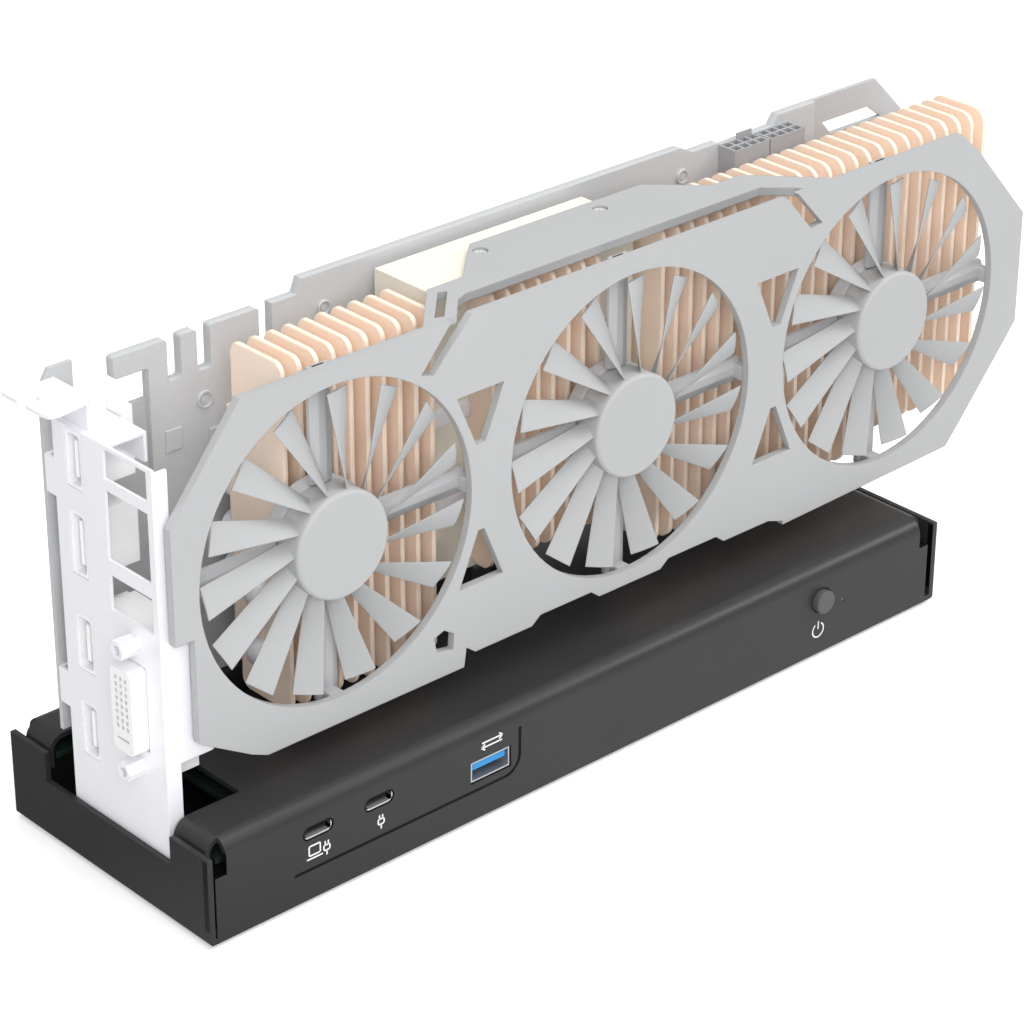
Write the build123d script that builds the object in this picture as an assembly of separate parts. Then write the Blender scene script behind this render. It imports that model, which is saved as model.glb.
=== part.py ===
from build123d import *
import os
from math import asin, atan, cos, degrees, pi, radians, sin

os.makedirs("parts", exist_ok=True)

# Everything is laid out in millimetres from the dock's left front bottom corner:
# X along the dock, Y from the port side to the back, Z up from the underside of the base.
# save() moves each piece to the part's frame when it is written.

# Dock shell
DOCK_L = 260.2
DOCK_W = 81.0
BASE_T = 1.6
END_H = 24.3
COVER_TOP = 27.3
COVER_T = 1.5
FOLD_R = 4.5
BEND_R = 1.0
SEAM_LEFT = 0.6
SEAM_RIGHT = 2.0
END_FLANGE_H = 9.0
CORNER_NOTCH = 3.6
FOOT_R = 5.0
FOOT_H = 1.2
FOOT_INSET = 14.0

# Openings of the dock
BAY_Y0 = 16.0
BAY_Y1 = 67.4
BAY_X1 = 22.5
BAY_SILL_Z = 16.2
BAY_PLATE_MARGIN = 1.2
SLOT_CUT_MARGIN = 2.0

# Cover screws and their lugs on the base
LUG_W = 14.0
LUG_H = 12.0
LUG_INSET = 39.0
LUG_SCREW_Z = 7.5
SCREW_R = 1.45
SCREW_HEAD_R = 2.7
SCREW_HEAD_H = 1.3
SCREW_CLEAR = 0.05

# Front face: ports, groove, button
OVAL_W = 9.0
OVAL_H = 3.26
OVAL_LEN = 8.0
OVAL_WALL = 0.4
OVAL_TONGUE_T = 0.7
OVAL_XS = (33.9, 53.4)
OVAL_Z = 18.9
WIDE_W = 13.1
WIDE_H = 5.7
WIDE_LEN = 14.0
WIDE_WALL = 0.4
WIDE_X = 90.4
WIDE_Z = 14.0
TONGUE_W = 11.1
TONGUE_T = 1.8
TONGUE_DROP = 0.5
PORT_GAP = 0.35
PORT_SETBACK = 0.3
GROOVE_W = 1.0
GROOVE_DEPTH = 0.4
GROOVE_X0 = 26.2
GROOVE_X1 = 100.3
GROOVE_Z0 = 8.5
GROOVE_Z1 = 21.4
GROOVE_R = 5.0
BUTTON_X = 212.9
BUTTON_Z = 16.5
BUTTON_R = 3.4
BUTTON_GAP = 0.3
BUTTON_PROUD = 2.0
BUTTON_FLANGE = 1.2
BUTTON_FLANGE_T = 1.0
BUTTON_TRAVEL = 0.8
SWITCH_W = 6.2
SWITCH_D = 4.0
LIGHT_X = 221.8
LIGHT_Z = 13.5
LIGHT_R = 0.6
LIGHT_LEN = 5.0

# Main board
PCB_T = 1.6
PCB_EDGE_GAP = 1.0
PCB_END_GAP = 2.2
POST_R = 2.8
POST_SCREW_R = 1.2
POST_LEFT = 30.0
POST_RIGHT = 22.2
POST_FRONT = 15.0
POST_BACK = 11.0
POST_BORE = 7.0

# Back socket
INLET_RIGHT = 64.2
INLET_H = 11.0
INLET_DEPTH = 13.0
CELL = 3.4
CELL_PITCH = 4.2
CELL_DEPTH = 9.0
SOCKET_WALL = 0.8

# Card slot and its latch
SLOT_X0 = 44.0
SLOT_L = 89.0
SLOT_W = 7.5
SLOT_H = 11.2
SLOT_GROOVE_GAP = 0.1
SLOT_KEY_X = 58.4
SLOT_KEY_W = 1.6
LATCH_T = 3.4
LATCH_SIDE_GAP = 0.3
LATCH_L = 5.0
LATCH_PIN_R = 1.0
LATCH_PIN_GAP = 0.05
LATCH_LIFT = 3.2
CHEEK_L = 6.4

# Card: board, edge tab, back plate
CARD_Y = 58.0
CARD_X0 = 1.8
CARD_X1 = 265.0
CARD_SEAT_GAP = 0.3
CARD_TOP_DROP = 3.7
CARD_RAISE = 3.9
CARD_RAISE_X0 = 78.0
CARD_RAISE_X1 = 211.7
CARD_STEP_X = 247.8
CARD_SLOT_XS = (37.7, 46.7, 65.9)
CARD_SLOT_W = 4.1
CARD_SLOT_H = 11.1
CARD_CORNER_R = 0.9
FINGER_X1 = 11.2
FINGER_RISE = 2.2
ARM_X0 = 21.8
ARM_H = 5.8
ARM_GAP_X1 = 32.0
ARM_GAP_DROP = 14.1
BACK_T = 1.2
BACK_END_INSET = 0.7
PLATE_CHAMFER = 13.5
TAB_X0 = 47.0
TAB_X1 = 130.6
TAB_DROP = 8.3

# Bracket
BRACKET_X = 1.7
BRACKET_T = 0.9
BRACKET_Y0 = 16.9
BRACKET_Y1 = 55.7
BRACKET_FOOT = 6.5
BRACKET_TOP = 121.0
FLANGE_L = 3.6
WING_L = 13.4
WING_Z0 = 41.5
WING_Z1 = 61.0
CHEST_L = 7.6
CHEST_Z1 = 76.0
SHELF_X1 = 13.6
SHELF_Y0 = 34.4
SHELF_Y1 = 54.8
FLAP_Y1 = 44.2
FLAP_H = 7.8
TAB_RISE = 8.8
TAB_TIP_X = -9.5
TAB_RISER_X = 3.6
TAB_RISER_Y0 = 43.6
TAB_NOTCH_Y = 50.8
TAB_NOTCH_W = 3.6
BRACKET_LUG_ZS = (47.0, 105.0)
BRACKET_LUG_H = 10.0
BRACKET_LUG_L = 10.0
VENTS_Z = ((77.5, 87.0), (90.8, 109.3), (112.2, 120.0))
VENT_Y0 = 19.0
VENT_Y1 = 35.6

# Video ports behind the bracket: centre height, opening width and opening height
VIDEO_PORTS = ((112.6, 4.8, 13.4), (90.2, 4.8, 15.6), (63.0, 5.4, 13.8), (38.8, 5.4, 13.8))
VIDEO_Y = 47.6
VIDEO_WALL = 0.7
VIDEO_DEPTH = 12.0
VIDEO_LEN = 15.2
VIDEO_CROWN = 3.2
VIDEO_SEAT_DROP = 5.6
VIDEO_TONGUE_T = 1.3
VIDEO_SET = 0.2

# Pin connector with its two posts
PIN_Y = 27.3
PIN_Z = 55.0
PIN_W = 8.2
PIN_H = 23.0
PIN_PROUD = 4.6
PIN_BODY_L = 12.0
PIN_HOLE = 1.1
PIN_PITCH = 1.9
PIN_ROWS = 8
POST_PITCH = 33.4
JACK_R = 2.7
JACK_L = 5.2
JACK_HOLE_R = 1.3
JACK_HOLE_L = 4.4
JACK_SHANK_R = 1.5

# Cooler
FIN_FRONT = 27.0
FIN_BACK = 46.5
FIN_RISE = 6.7
FIN_LONG_RISE = 1.2
FIN_TOP_GAP = 0.4
FIN_T = 1.4
FIN_PITCH_LEFT = 5.2
FIN_PITCH_RIGHT = 5.27
FIN_LEFT_GAP = 4.9
FIN_LEFT_N = 10
FIN_MID_INSET = 13.9
FIN_MID_N = 8
FIN_RIGHT_GAP = 2.1
FIN_RIGHT_N = 25
FIN_RIGHT_LONG_N = 15
FIN_R = 4.0
FIN_BASE_T = 2.5
FIN_BASE_DROP = 34.9
FIN_BASE_RISE = 27.1
BLOCK_LEFT = 51.5
BLOCK_RIGHT = 19.9
BLOCK_FRONT = 35.5
BLOCK_BACK = 55.5
BLOCK_RISE = 12.7
PIPE_D = 5.0
PIPE_H = 7.0
PIPE_N = 4
PIPE_PITCH = 11.7
PIPE_DROP = 20.4
CHIP_W = 40.0

# Card power sockets
SOCKET_X = 226.4
SOCKET_H = 15.0
SOCKET_RISE = 1.0
SOCKET_GAP = 0.5
SOCKET_COLUMNS = 4
SOCKET_CELL = 2.5
SOCKET_PITCH = 3.2
CLIP_W = 5.8
CLIP_H = 1.8

# Shroud and fans
SHROUD_FRONT = 14.0
SHROUD_T = 2.2
SHROUD_LEFT = 4.1
SHROUD_RISE = 1.7
TOP_PLATE_T = 2.4
OPENING_R = 42.5
RIM_TOP = 5.3
RIM_LOW = 7.1
RIM_LEFT = 7.6
RIM_RIGHT = 12.3
BRIDGE = 13.3
SLIT_W = 8.1
BLADES = 15
BLADE_TIP_GAP = 2.1
BLADE_T = 1.0
BLADE_SWEEP = 20.0
BLADE_ARC = 16.0
BLADE_FRONT = 14.4
BLADE_DEPTH_TIP = 4.7
BLADE_DEPTH_ROOT = 6.2
HUB_R = 14.3
HUB_FRONT = 12.4
HUB_BACK = 20.8
HUB_EDGE_R = 1.6
FAN_SHAFT_R = 1.6
FAN_SHAFT_GAP = 0.05
FRAME_FRONT = 21.6
FRAME_BACK = 25.2
ARM_W = 3.0
ARM_T = 2.4
ARM_REACH = 2.7
ARM_POST_L = 2.6
PLATE_SCREW_R = 2.0
PLATE_SCREW_Y = 42.0
COOLER_SCREW_R = 1.2
COOLER_HEAD_R = 2.8
COOLER_HEAD_H = 1.1

# Worked out from the sizes above
BOARD_Z0 = OVAL_Z + OVAL_H / 2
BOARD_Z1 = BOARD_Z0 + PCB_T
POST_XS = (POST_LEFT, (DOCK_L + POST_LEFT) / 2, DOCK_L - POST_RIGHT)
POST_YS = (POST_FRONT, DOCK_W - POST_BACK)
LUG_XS = (LUG_INSET, DOCK_L - LUG_INSET)
INLET_X = DOCK_L - INLET_RIGHT
CARD_MID_Y = CARD_Y + PCB_T / 2
SLOT_TOP = BOARD_Z1 + SLOT_H
SLOT_X1 = SLOT_X0 + SLOT_L
CARD_BOTTOM = SLOT_TOP + CARD_SEAT_GAP
COVER_X0 = BASE_T + SEAM_LEFT
COVER_X1 = DOCK_L - BASE_T - SEAM_RIGHT
BRACKET_IN = BRACKET_X + BRACKET_T
FINS_BASE_BACK = FIN_BACK + FIN_BASE_T
LATCH_PIVOT = (SLOT_X1 + CHEEK_L / 2, CARD_MID_Y, BOARD_Z1 + LATCH_LIFT)
SHROUD_BOTTOM = CARD_BOTTOM + SHROUD_RISE
FAN_Z = SHROUD_BOTTOM + RIM_LOW + OPENING_R
FAN_XS = tuple(SHROUD_LEFT + RIM_LEFT + OPENING_R + (2 * OPENING_R + BRIDGE) * k for k in range(3))
SHROUD_TOP = FAN_Z + OPENING_R + RIM_TOP
SHROUD_RIGHT = FAN_XS[2] + OPENING_R + RIM_RIGHT
BLADE_TIP_R = OPENING_R - BLADE_TIP_GAP
ARM_END_R = OPENING_R + ARM_REACH
CARD_TOP = SHROUD_TOP - CARD_TOP_DROP
SOCKET_TOP = CARD_TOP + SOCKET_RISE
BACK_Y = CARD_Y + PCB_T
BACK_X1 = SHROUD_RIGHT - BACK_END_INSET
BLOCK_X0 = FAN_XS[1] - BLOCK_LEFT
BLOCK_X1 = FAN_XS[1] + BLOCK_RIGHT
BLOCK_Z0 = SHROUD_BOTTOM + BLOCK_RISE
BLOCK_Z1 = SHROUD_TOP - TOP_PLATE_T
FIN_BOTTOM = SHROUD_BOTTOM + FIN_RISE
FIN_LONG_BOTTOM = SHROUD_BOTTOM + FIN_LONG_RISE
FIN_TOP = BLOCK_Z1 - FIN_TOP_GAP
FIN_LEFT_X = BLOCK_X0 - FIN_LEFT_GAP - FIN_T - FIN_PITCH_LEFT * (FIN_LEFT_N - 1)
FIN_MID_X = BLOCK_X0 + FIN_MID_INSET
FIN_RIGHT_X = BLOCK_X1 + FIN_RIGHT_GAP
PIPE_ZS = tuple(FAN_Z - PIPE_DROP + PIPE_PITCH * k for k in range(PIPE_N))
PLATE_SCREW_XS = (BLOCK_X0 + 23.6, BLOCK_X1 - 6.1)
TAB_Z = BRACKET_TOP + TAB_RISE
MIDDLE_X = (TAB_TIP_X + SHROUD_RIGHT) / 2
MIDDLE_Y = (DOCK_W + SCREW_HEAD_H - BUTTON_PROUD) / 2


def block(x0, x1, y0, y1, z0, z1):
    """Box between six planes."""
    box = Box(x1 - x0, y1 - y0, z1 - z0, align=(Align.MIN, Align.MIN, Align.MIN))
    return Pos(x0, y0, z0) * box


def sheet_xz(points, y0, y1):
    """Outline in X and Z, as thick as from y0 to y1."""
    plane = Plane(origin=(0, y1, 0), x_dir=(1, 0, 0), z_dir=(0, -1, 0))
    return extrude(plane * make_face(Polyline(*points, close=True)), amount=y1 - y0)


def sheet_xy(points, z0, z1):
    """Outline in X and Y, as thick as from z0 to z1."""
    plane = Plane.XY.offset(z0)
    return extrude(plane * make_face(Polyline(*points, close=True)), amount=z1 - z0)


def rod_x(x0, x1, y, z, radius):
    """Round rod along X."""
    plane = Plane(origin=(x0, y, z), x_dir=(0, 1, 0), z_dir=(1, 0, 0))
    return extrude(plane * Circle(radius), amount=x1 - x0)


def rod_y(x, y0, y1, z, radius):
    """Round rod along Y."""
    plane = Plane(origin=(x, y1, z), x_dir=(1, 0, 0), z_dir=(0, -1, 0))
    return extrude(plane * Circle(radius), amount=y1 - y0)


def rod_z(x, y, z0, z1, radius):
    """Round rod along Z."""
    return Pos(x, y, z0) * extrude(Circle(radius), amount=z1 - z0)


def slot_y(x, y0, y1, z, width, height):
    """Slot with round ends along Y, as wide as width and as high as height."""
    plane = Plane(origin=(x, y1, z), x_dir=(1, 0, 0), z_dir=(0, -1, 0))
    return extrude(plane * SlotOverall(width, height), amount=y1 - y0)


def slot_x(x0, x1, y, z, width, height, radius):
    """Rounded bar along X, as wide in Y as width."""
    plane = Plane(origin=(x0, y, z), x_dir=(0, 1, 0), z_dir=(1, 0, 0))
    return extrude(plane * RectangleRounded(width, height, radius), amount=x1 - x0)


def save(shape, name):
    """Write one node, moved so that the origin is on the table under the whole part's middle."""
    pieces = shape if isinstance(shape, list) else [shape]
    moved = [Pos(-MIDDLE_X, -MIDDLE_Y, FOOT_H) * piece for piece in pieces]
    export_step(moved[0] if len(moved) == 1 else Compound(moved), "parts/" + name + ".step")


def feet():
    """Four round pads under the base."""
    return [
        rod_z(x, y, -FOOT_H, 0, FOOT_R)
        for x in (FOOT_INSET, DOCK_L - FOOT_INSET)
        for y in (FOOT_INSET, DOCK_W - FOOT_INSET)
    ]


def lug_y():
    """Inner face of the back lugs that the cover is screwed to."""
    return DOCK_W - COVER_T - BASE_T


def base_tray():
    """Bottom sheet folded up at both ends, with a sill for the bracket and two back lugs."""
    tray = block(0, DOCK_L, 0, DOCK_W, 0, BASE_T)
    tray += block(0, BASE_T, 0, DOCK_W, 0, END_H)
    tray += block(DOCK_L - BASE_T, DOCK_L, 0, DOCK_W, 0, END_H)
    folds = tray.edges().filter_by(Axis.Y).filter_by_position(Axis.Z, -0.01, 0.01)
    tray = fillet(folds, BEND_R)
    sill = block(-1, BASE_T + 1, BAY_Y0 - BAY_PLATE_MARGIN, BAY_Y1 - BAY_PLATE_MARGIN, BAY_SILL_Z, END_H + 1)
    tray -= sill
    for x in LUG_XS:
        tray += block(x - LUG_W / 2, x + LUG_W / 2, lug_y(), lug_y() + BASE_T, 0, LUG_H)
        tray -= rod_y(x, lug_y() - 1, DOCK_W, LUG_SCREW_Z, SCREW_R + SCREW_CLEAR)
    return tray


def rounded_block(inset, top, bottom):
    """Block of the cover's plan with its four top edges rounded, smaller all round by inset."""
    body = block(COVER_X0 + inset, COVER_X1 - inset, inset, DOCK_W - inset, bottom, top)
    upper = body.edges().filter_by_position(Axis.Z, top - 0.01, top + 0.01)
    return fillet(upper, FOLD_R - inset)


def card_slot_cut():
    """Room in the cover for the card slot and its latch."""
    x1 = SLOT_X1 + CHEEK_L + LATCH_L + SLOT_CUT_MARGIN
    half = SLOT_W / 2 + SLOT_CUT_MARGIN
    return block(SLOT_X0 - SLOT_CUT_MARGIN, x1, CARD_MID_Y - half, CARD_MID_Y + half, BOARD_Z1, COVER_TOP + 1)


def groove():
    """Shallow engraved line that runs under the ports and turns up beside the wide one."""
    path = Polyline((GROOVE_X0, GROOVE_Z0), (GROOVE_X1, GROOVE_Z0), (GROOVE_X1, GROOVE_Z1))
    rounded = fillet(path.vertices().sort_by_distance((GROOVE_X1, GROOVE_Z0))[0], GROOVE_R)
    plane = Plane(origin=(0, GROOVE_DEPTH, 0), x_dir=(1, 0, 0), z_dir=(0, -1, 0))
    return extrude(plane * trace(rounded, line_width=GROOVE_W), amount=GROOVE_DEPTH + 1)


def front_cuts():
    """Mouths of the ports, the button's hole and the light's hole."""
    y0 = -1
    y1 = COVER_T + 0.5
    cuts = [
        slot_y(x, y0, y1, OVAL_Z, OVAL_W + 2 * PORT_GAP, OVAL_H + 2 * PORT_GAP)
        for x in OVAL_XS
    ]
    half = WIDE_W / 2 + PORT_GAP
    rise = WIDE_H / 2 + PORT_GAP
    cuts.append(block(WIDE_X - half, WIDE_X + half, y0, y1, WIDE_Z - rise, WIDE_Z + rise))
    cuts.append(rod_y(BUTTON_X, y0, y1, BUTTON_Z, BUTTON_R + BUTTON_GAP))
    cuts.append(rod_y(LIGHT_X, y0, y1, LIGHT_Z, LIGHT_R))
    return cuts


def top_cover():
    """Folded cover: top, front and back walls, short end flanges, open corners."""
    cover = rounded_block(0, COVER_TOP, BASE_T)
    cover -= rounded_block(COVER_T, COVER_TOP - COVER_T, BASE_T - 1)
    low = COVER_TOP - END_FLANGE_H
    for x0, x1 in ((COVER_X0 - 1, COVER_X0 + COVER_T + 0.1), (COVER_X1 - COVER_T - 0.1, COVER_X1 + 1)):
        cover -= block(x0, x1, COVER_T, DOCK_W - COVER_T, 0, low)
    for x0 in (COVER_X0 - 1, COVER_X1 - CORNER_NOTCH):
        for y0 in (-1, DOCK_W - CORNER_NOTCH):
            width = CORNER_NOTCH + 1
            cover -= block(x0, x0 + width, y0, y0 + width, low, COVER_TOP + 1)
    cover -= block(-1, BAY_X1, BAY_Y0, BAY_Y1, low - 1, COVER_TOP + 1)
    cover -= card_slot_cut()
    cover -= groove()
    for cut in front_cuts():
        cover -= cut
    for x in LUG_XS:
        cover -= rod_y(x, DOCK_W - COVER_T - 0.5, DOCK_W + 1, LUG_SCREW_Z, SCREW_R + SCREW_CLEAR)
    cover -= inlet_box(PORT_GAP, DOCK_W + 1)
    return cover


def cover_screws():
    """Two pan head screws through the back wall into the lugs."""
    screws = []
    for x in LUG_XS:
        shank = rod_y(x, lug_y() - 1, DOCK_W, LUG_SCREW_Z, SCREW_R)
        head = rod_y(x, DOCK_W, DOCK_W + SCREW_HEAD_H, LUG_SCREW_Z, SCREW_HEAD_R)
        screws.append(shank + head)
    return screws


def posts():
    """Turned posts that carry the main board, each with a blind screw hole."""
    made = []
    for x in POST_XS:
        for y in POST_YS:
            post = rod_z(x, y, BASE_T, BOARD_Z0, POST_R)
            made.append(post - rod_z(x, y, BOARD_Z0 - POST_BORE, BOARD_Z0 + 1, POST_SCREW_R + SCREW_CLEAR))
    return made


def board_screws():
    """Screws that hold the main board on its posts."""
    made = []
    for x in POST_XS:
        for y in POST_YS:
            shank = rod_z(x, y, BOARD_Z0 - POST_BORE + 1, BOARD_Z1, POST_SCREW_R)
            made.append(shank + rod_z(x, y, BOARD_Z1, BOARD_Z1 + SCREW_HEAD_H, POST_R))
    return made


def main_board():
    """Circuit board under the cover's top, with a notch for the bracket."""
    y0 = COVER_T + PCB_EDGE_GAP
    board = block(COVER_X0 + PCB_END_GAP, COVER_X1 - PCB_END_GAP, y0, DOCK_W - y0, BOARD_Z0, BOARD_Z1)
    board -= block(0, BAY_X1, BAY_Y0, BAY_Y1, BOARD_Z0 - 1, BOARD_Z1 + 1)
    half = BUTTON_R + BUTTON_FLANGE + BUTTON_GAP
    back = COVER_T + 2 * BUTTON_GAP + BUTTON_FLANGE_T + BUTTON_TRAVEL
    board -= block(BUTTON_X - half, BUTTON_X + half, 0, back, BOARD_Z0 - 1, BOARD_Z1 + 1)
    for x in POST_XS:
        for y in POST_YS:
            board -= rod_z(x, y, BOARD_Z0 - 1, BOARD_Z1 + 1, POST_SCREW_R + SCREW_CLEAR)
    return board


def controller_chip():
    """Square chip on the underside of the main board."""
    x = SLOT_X0 + SLOT_L / 2
    return block(x - 9, x + 9, 28, 46, BOARD_Z0 - 1.4, BOARD_Z0)


def bracket_guide():
    """Bent sheet that traps the bracket's tongues against the end plate."""
    x0 = BRACKET_IN + 0.1
    y0 = BRACKET_Y0 + 2
    y1 = BRACKET_Y1 - 2
    guide = block(x0, x0 + BASE_T, y0, y1, BASE_T, BAY_SILL_Z - 3)
    return guide + block(x0, x0 + 11, y0, y1, BASE_T, 2 * BASE_T)


def oval_port(x):
    """Flat oval socket with its tongue, hung under the main board."""
    shell = slot_y(x, PORT_SETBACK, PORT_SETBACK + OVAL_LEN, OVAL_Z, OVAL_W, OVAL_H)
    inner = OVAL_W - 2 * OVAL_WALL
    shell -= slot_y(x, 0, OVAL_LEN - 1, OVAL_Z, inner, OVAL_H - 2 * OVAL_WALL)
    half = inner / 2 - 0.9
    return shell + block(
        x - half, x + half, PORT_SETBACK + 0.8, OVAL_LEN - 0.5,
        OVAL_Z - OVAL_TONGUE_T / 2, OVAL_Z + OVAL_TONGUE_T / 2,
    )


def wide_port():
    """Wide socket: a folded shell with a plastic riser up to the main board."""
    y0 = PORT_SETBACK
    y1 = y0 + WIDE_LEN
    x0 = WIDE_X - WIDE_W / 2
    x1 = WIDE_X + WIDE_W / 2
    z0 = WIDE_Z - WIDE_H / 2
    z1 = WIDE_Z + WIDE_H / 2
    shell = block(x0, x1, y0, y1, z0, z1)
    shell -= block(x0 + WIDE_WALL, x1 - WIDE_WALL, y0 - 1, y1 - 2, z0 + WIDE_WALL, z1 - WIDE_WALL)
    return shell + block(x0 + 1, x1 - 1, COVER_T + PCB_EDGE_GAP, y1, z1, BOARD_Z0)


def wide_port_tongue():
    """Coloured tongue under the roof of the wide socket."""
    top = WIDE_Z + WIDE_H / 2 - WIDE_WALL - TONGUE_DROP
    half = TONGUE_W / 2
    y0 = PORT_SETBACK
    return block(WIDE_X - half, WIDE_X + half, y0 + 0.6, y0 + WIDE_LEN - 2, top - TONGUE_T, top)


def power_button():
    """Round cap with a flange behind the wall."""
    cap = rod_y(BUTTON_X, -BUTTON_PROUD, COVER_T + BUTTON_GAP, BUTTON_Z, BUTTON_R)
    rim = cap.edges().filter_by_position(Axis.Y, -BUTTON_PROUD - 0.01, -BUTTON_PROUD + 0.01)
    cap = fillet(rim, 0.5)
    y0 = COVER_T + BUTTON_GAP
    return cap + rod_y(BUTTON_X, y0, y0 + BUTTON_FLANGE_T, BUTTON_Z, BUTTON_R + BUTTON_FLANGE)


def button_switch():
    """Small switch behind the button, hung from the main board."""
    y0 = COVER_T + BUTTON_GAP + BUTTON_FLANGE_T + BUTTON_TRAVEL + 0.1
    half = SWITCH_W / 2
    body = block(BUTTON_X - half, BUTTON_X + half, y0 + 0.8, y0 + 0.8 + SWITCH_D, BUTTON_Z - half, BOARD_Z0)
    return body + rod_y(BUTTON_X, y0, y0 + 0.8, BUTTON_Z, 1.6)


def light_pipe():
    """Clear guide from the board's light to its hole in the front wall."""
    rod = rod_y(LIGHT_X, COVER_T + 0.1, COVER_T + 0.1 + LIGHT_LEN, LIGHT_Z, 2 * LIGHT_R)
    rod += rod_y(LIGHT_X, 0.3, COVER_T + 0.1, LIGHT_Z, LIGHT_R - 0.05)
    y1 = COVER_T + 0.1 + LIGHT_LEN
    return rod + block(LIGHT_X - 2 * LIGHT_R, LIGHT_X + 2 * LIGHT_R, y1 - 2, y1, LIGHT_Z, BOARD_Z0)


def inlet_box(gap, y1):
    """Outside of the back socket, larger all round by gap, up to y1."""
    half = 2 * CELL_PITCH + SOCKET_WALL + gap
    low = BOARD_Z0 - INLET_H - gap
    return block(INLET_X - half, INLET_X + half, DOCK_W - INLET_DEPTH, y1, low, BOARD_Z0 + gap)


def cells(x, z, y0, y1, columns, rows):
    """Square cells of a power socket that opens along Y, centred on x and z."""
    made = []
    for i in range(columns):
        for j in range(rows):
            cx = x + (i - (columns - 1) / 2) * CELL_PITCH
            cz = z + (j - (rows - 1) / 2) * CELL_PITCH
            made.append(block(cx - CELL / 2, cx + CELL / 2, y0, y1, cz - CELL / 2, cz + CELL / 2))
    return made


def power_inlet():
    """Power socket at the back, two rows of four cells."""
    body = inlet_box(0, DOCK_W)
    for cell in cells(INLET_X, BOARD_Z0 - INLET_H / 2, DOCK_W - CELL_DEPTH, DOCK_W + 1, 4, 2):
        body -= cell
    return body


def card_slot():
    """Edge connector for the card, with a keyed groove and two cheeks for the latch."""
    y0 = CARD_MID_Y - SLOT_W / 2
    y1 = CARD_MID_Y + SLOT_W / 2
    body = block(SLOT_X0, SLOT_X1, y0, y1, BOARD_Z1, SLOT_TOP)
    half = PCB_T / 2 + SLOT_GROOVE_GAP
    floor = CARD_BOTTOM - TAB_DROP - 0.2
    for x0, x1 in ((TAB_X0 - 0.4, SLOT_KEY_X), (SLOT_KEY_X + SLOT_KEY_W, TAB_X1 + 0.4)):
        body -= block(x0, x1, CARD_MID_Y - half, CARD_MID_Y + half, floor, SLOT_TOP + 1)
    inner = LATCH_T / 2 + LATCH_SIDE_GAP
    for a, b in ((y0, CARD_MID_Y - inner), (CARD_MID_Y + inner, y1)):
        body += block(SLOT_X1, SLOT_X1 + CHEEK_L, a, b, BOARD_Z1, BOARD_Z1 + 2 * LATCH_LIFT)
    bore = LATCH_PIN_R + LATCH_PIN_GAP
    return body - rod_y(LATCH_PIVOT[0], y0 - 1, y1 + 1, LATCH_PIVOT[2], bore)


def slot_latch():
    """Lever that turns on its pin between the cheeks, with a finger pad at its outer end."""
    x, y, z = LATCH_PIVOT
    half = LATCH_T / 2
    lever = sheet_xz(
        [
            (x - 2.0, z - 1.8),
            (x + 2.0, z - 1.8),
            (x + 2.4, z + 2.2),
            (x + 2.4 + LATCH_L, z + 4.2),
            (x + 2.4 + LATCH_L, z + 5.8),
            (x - 0.4, z + 5.8),
            (x - 1.4, z + 7.4),
            (x - 2.6, z + 7.4),
        ],
        y - half,
        y + half,
    )
    return lever + rod_y(x, y - SLOT_W / 2, y + SLOT_W / 2, z, LATCH_PIN_R)


def card_top_edge():
    """Top outline of the card from the hooked arm's lower corner to its right step."""
    t = CARD_TOP
    points = [(ARM_GAP_X1, t - ARM_H), (ARM_X0, t - ARM_H), (ARM_X0, t)]
    for x in CARD_SLOT_XS:
        low = t - CARD_SLOT_H
        points += [(x, t), (x, low), (x + CARD_SLOT_W, low), (x + CARD_SLOT_W, t)]
    top = t + CARD_RAISE
    points += [(CARD_RAISE_X0, t), (CARD_RAISE_X0 + 1.5, top), (CARD_RAISE_X1, top)]
    points += [(CARD_RAISE_X1 + 4.5, top - 2.3), (SOCKET_X, top - 2.3), (SOCKET_X + 2.3, t + 0.3)]
    return points + [(CARD_STEP_X, t + 0.9), (CARD_STEP_X + 2.2, top)]


def card_sheet(outline, y0, y1):
    """Sheet of the card from its outline, with the corners of its arm and teeth rounded."""
    plane = Plane(origin=(0, y1, 0), x_dir=(1, 0, 0), z_dir=(0, -1, 0))
    face = plane * make_face(Polyline(*outline, close=True))
    last = CARD_SLOT_XS[-1] + 1
    corners = [v for v in face.vertices() if ARM_X0 - 1 < v.X < last and v.Z > CARD_TOP - CARD_SLOT_H - 1]
    return extrude(fillet(corners, CARD_CORNER_R), amount=y1 - y0)


def card_board():
    """Card's circuit board with its edge tab, keyed like the slot."""
    outline = [(ARM_GAP_X1, CARD_BOTTOM)] + card_top_edge()
    outline += [(CARD_X1, CARD_TOP + CARD_RAISE), (CARD_X1, CARD_BOTTOM)]
    board = card_sheet(outline, CARD_Y, BACK_Y)
    board += block(TAB_X0, TAB_X1, CARD_Y, BACK_Y, CARD_BOTTOM - TAB_DROP, CARD_BOTTOM)
    key0 = SLOT_KEY_X - 0.2
    key1 = SLOT_KEY_X + SLOT_KEY_W + 0.2
    board -= block(key0, key1, CARD_Y - 1, BACK_Y + 1, CARD_BOTTOM - TAB_DROP - 1, CARD_BOTTOM)
    for x, z in cooler_screw_places():
        board -= rod_y(x, CARD_Y - 1, BACK_Y + 1, z, COOLER_SCREW_R + SCREW_CLEAR)
    return board


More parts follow.
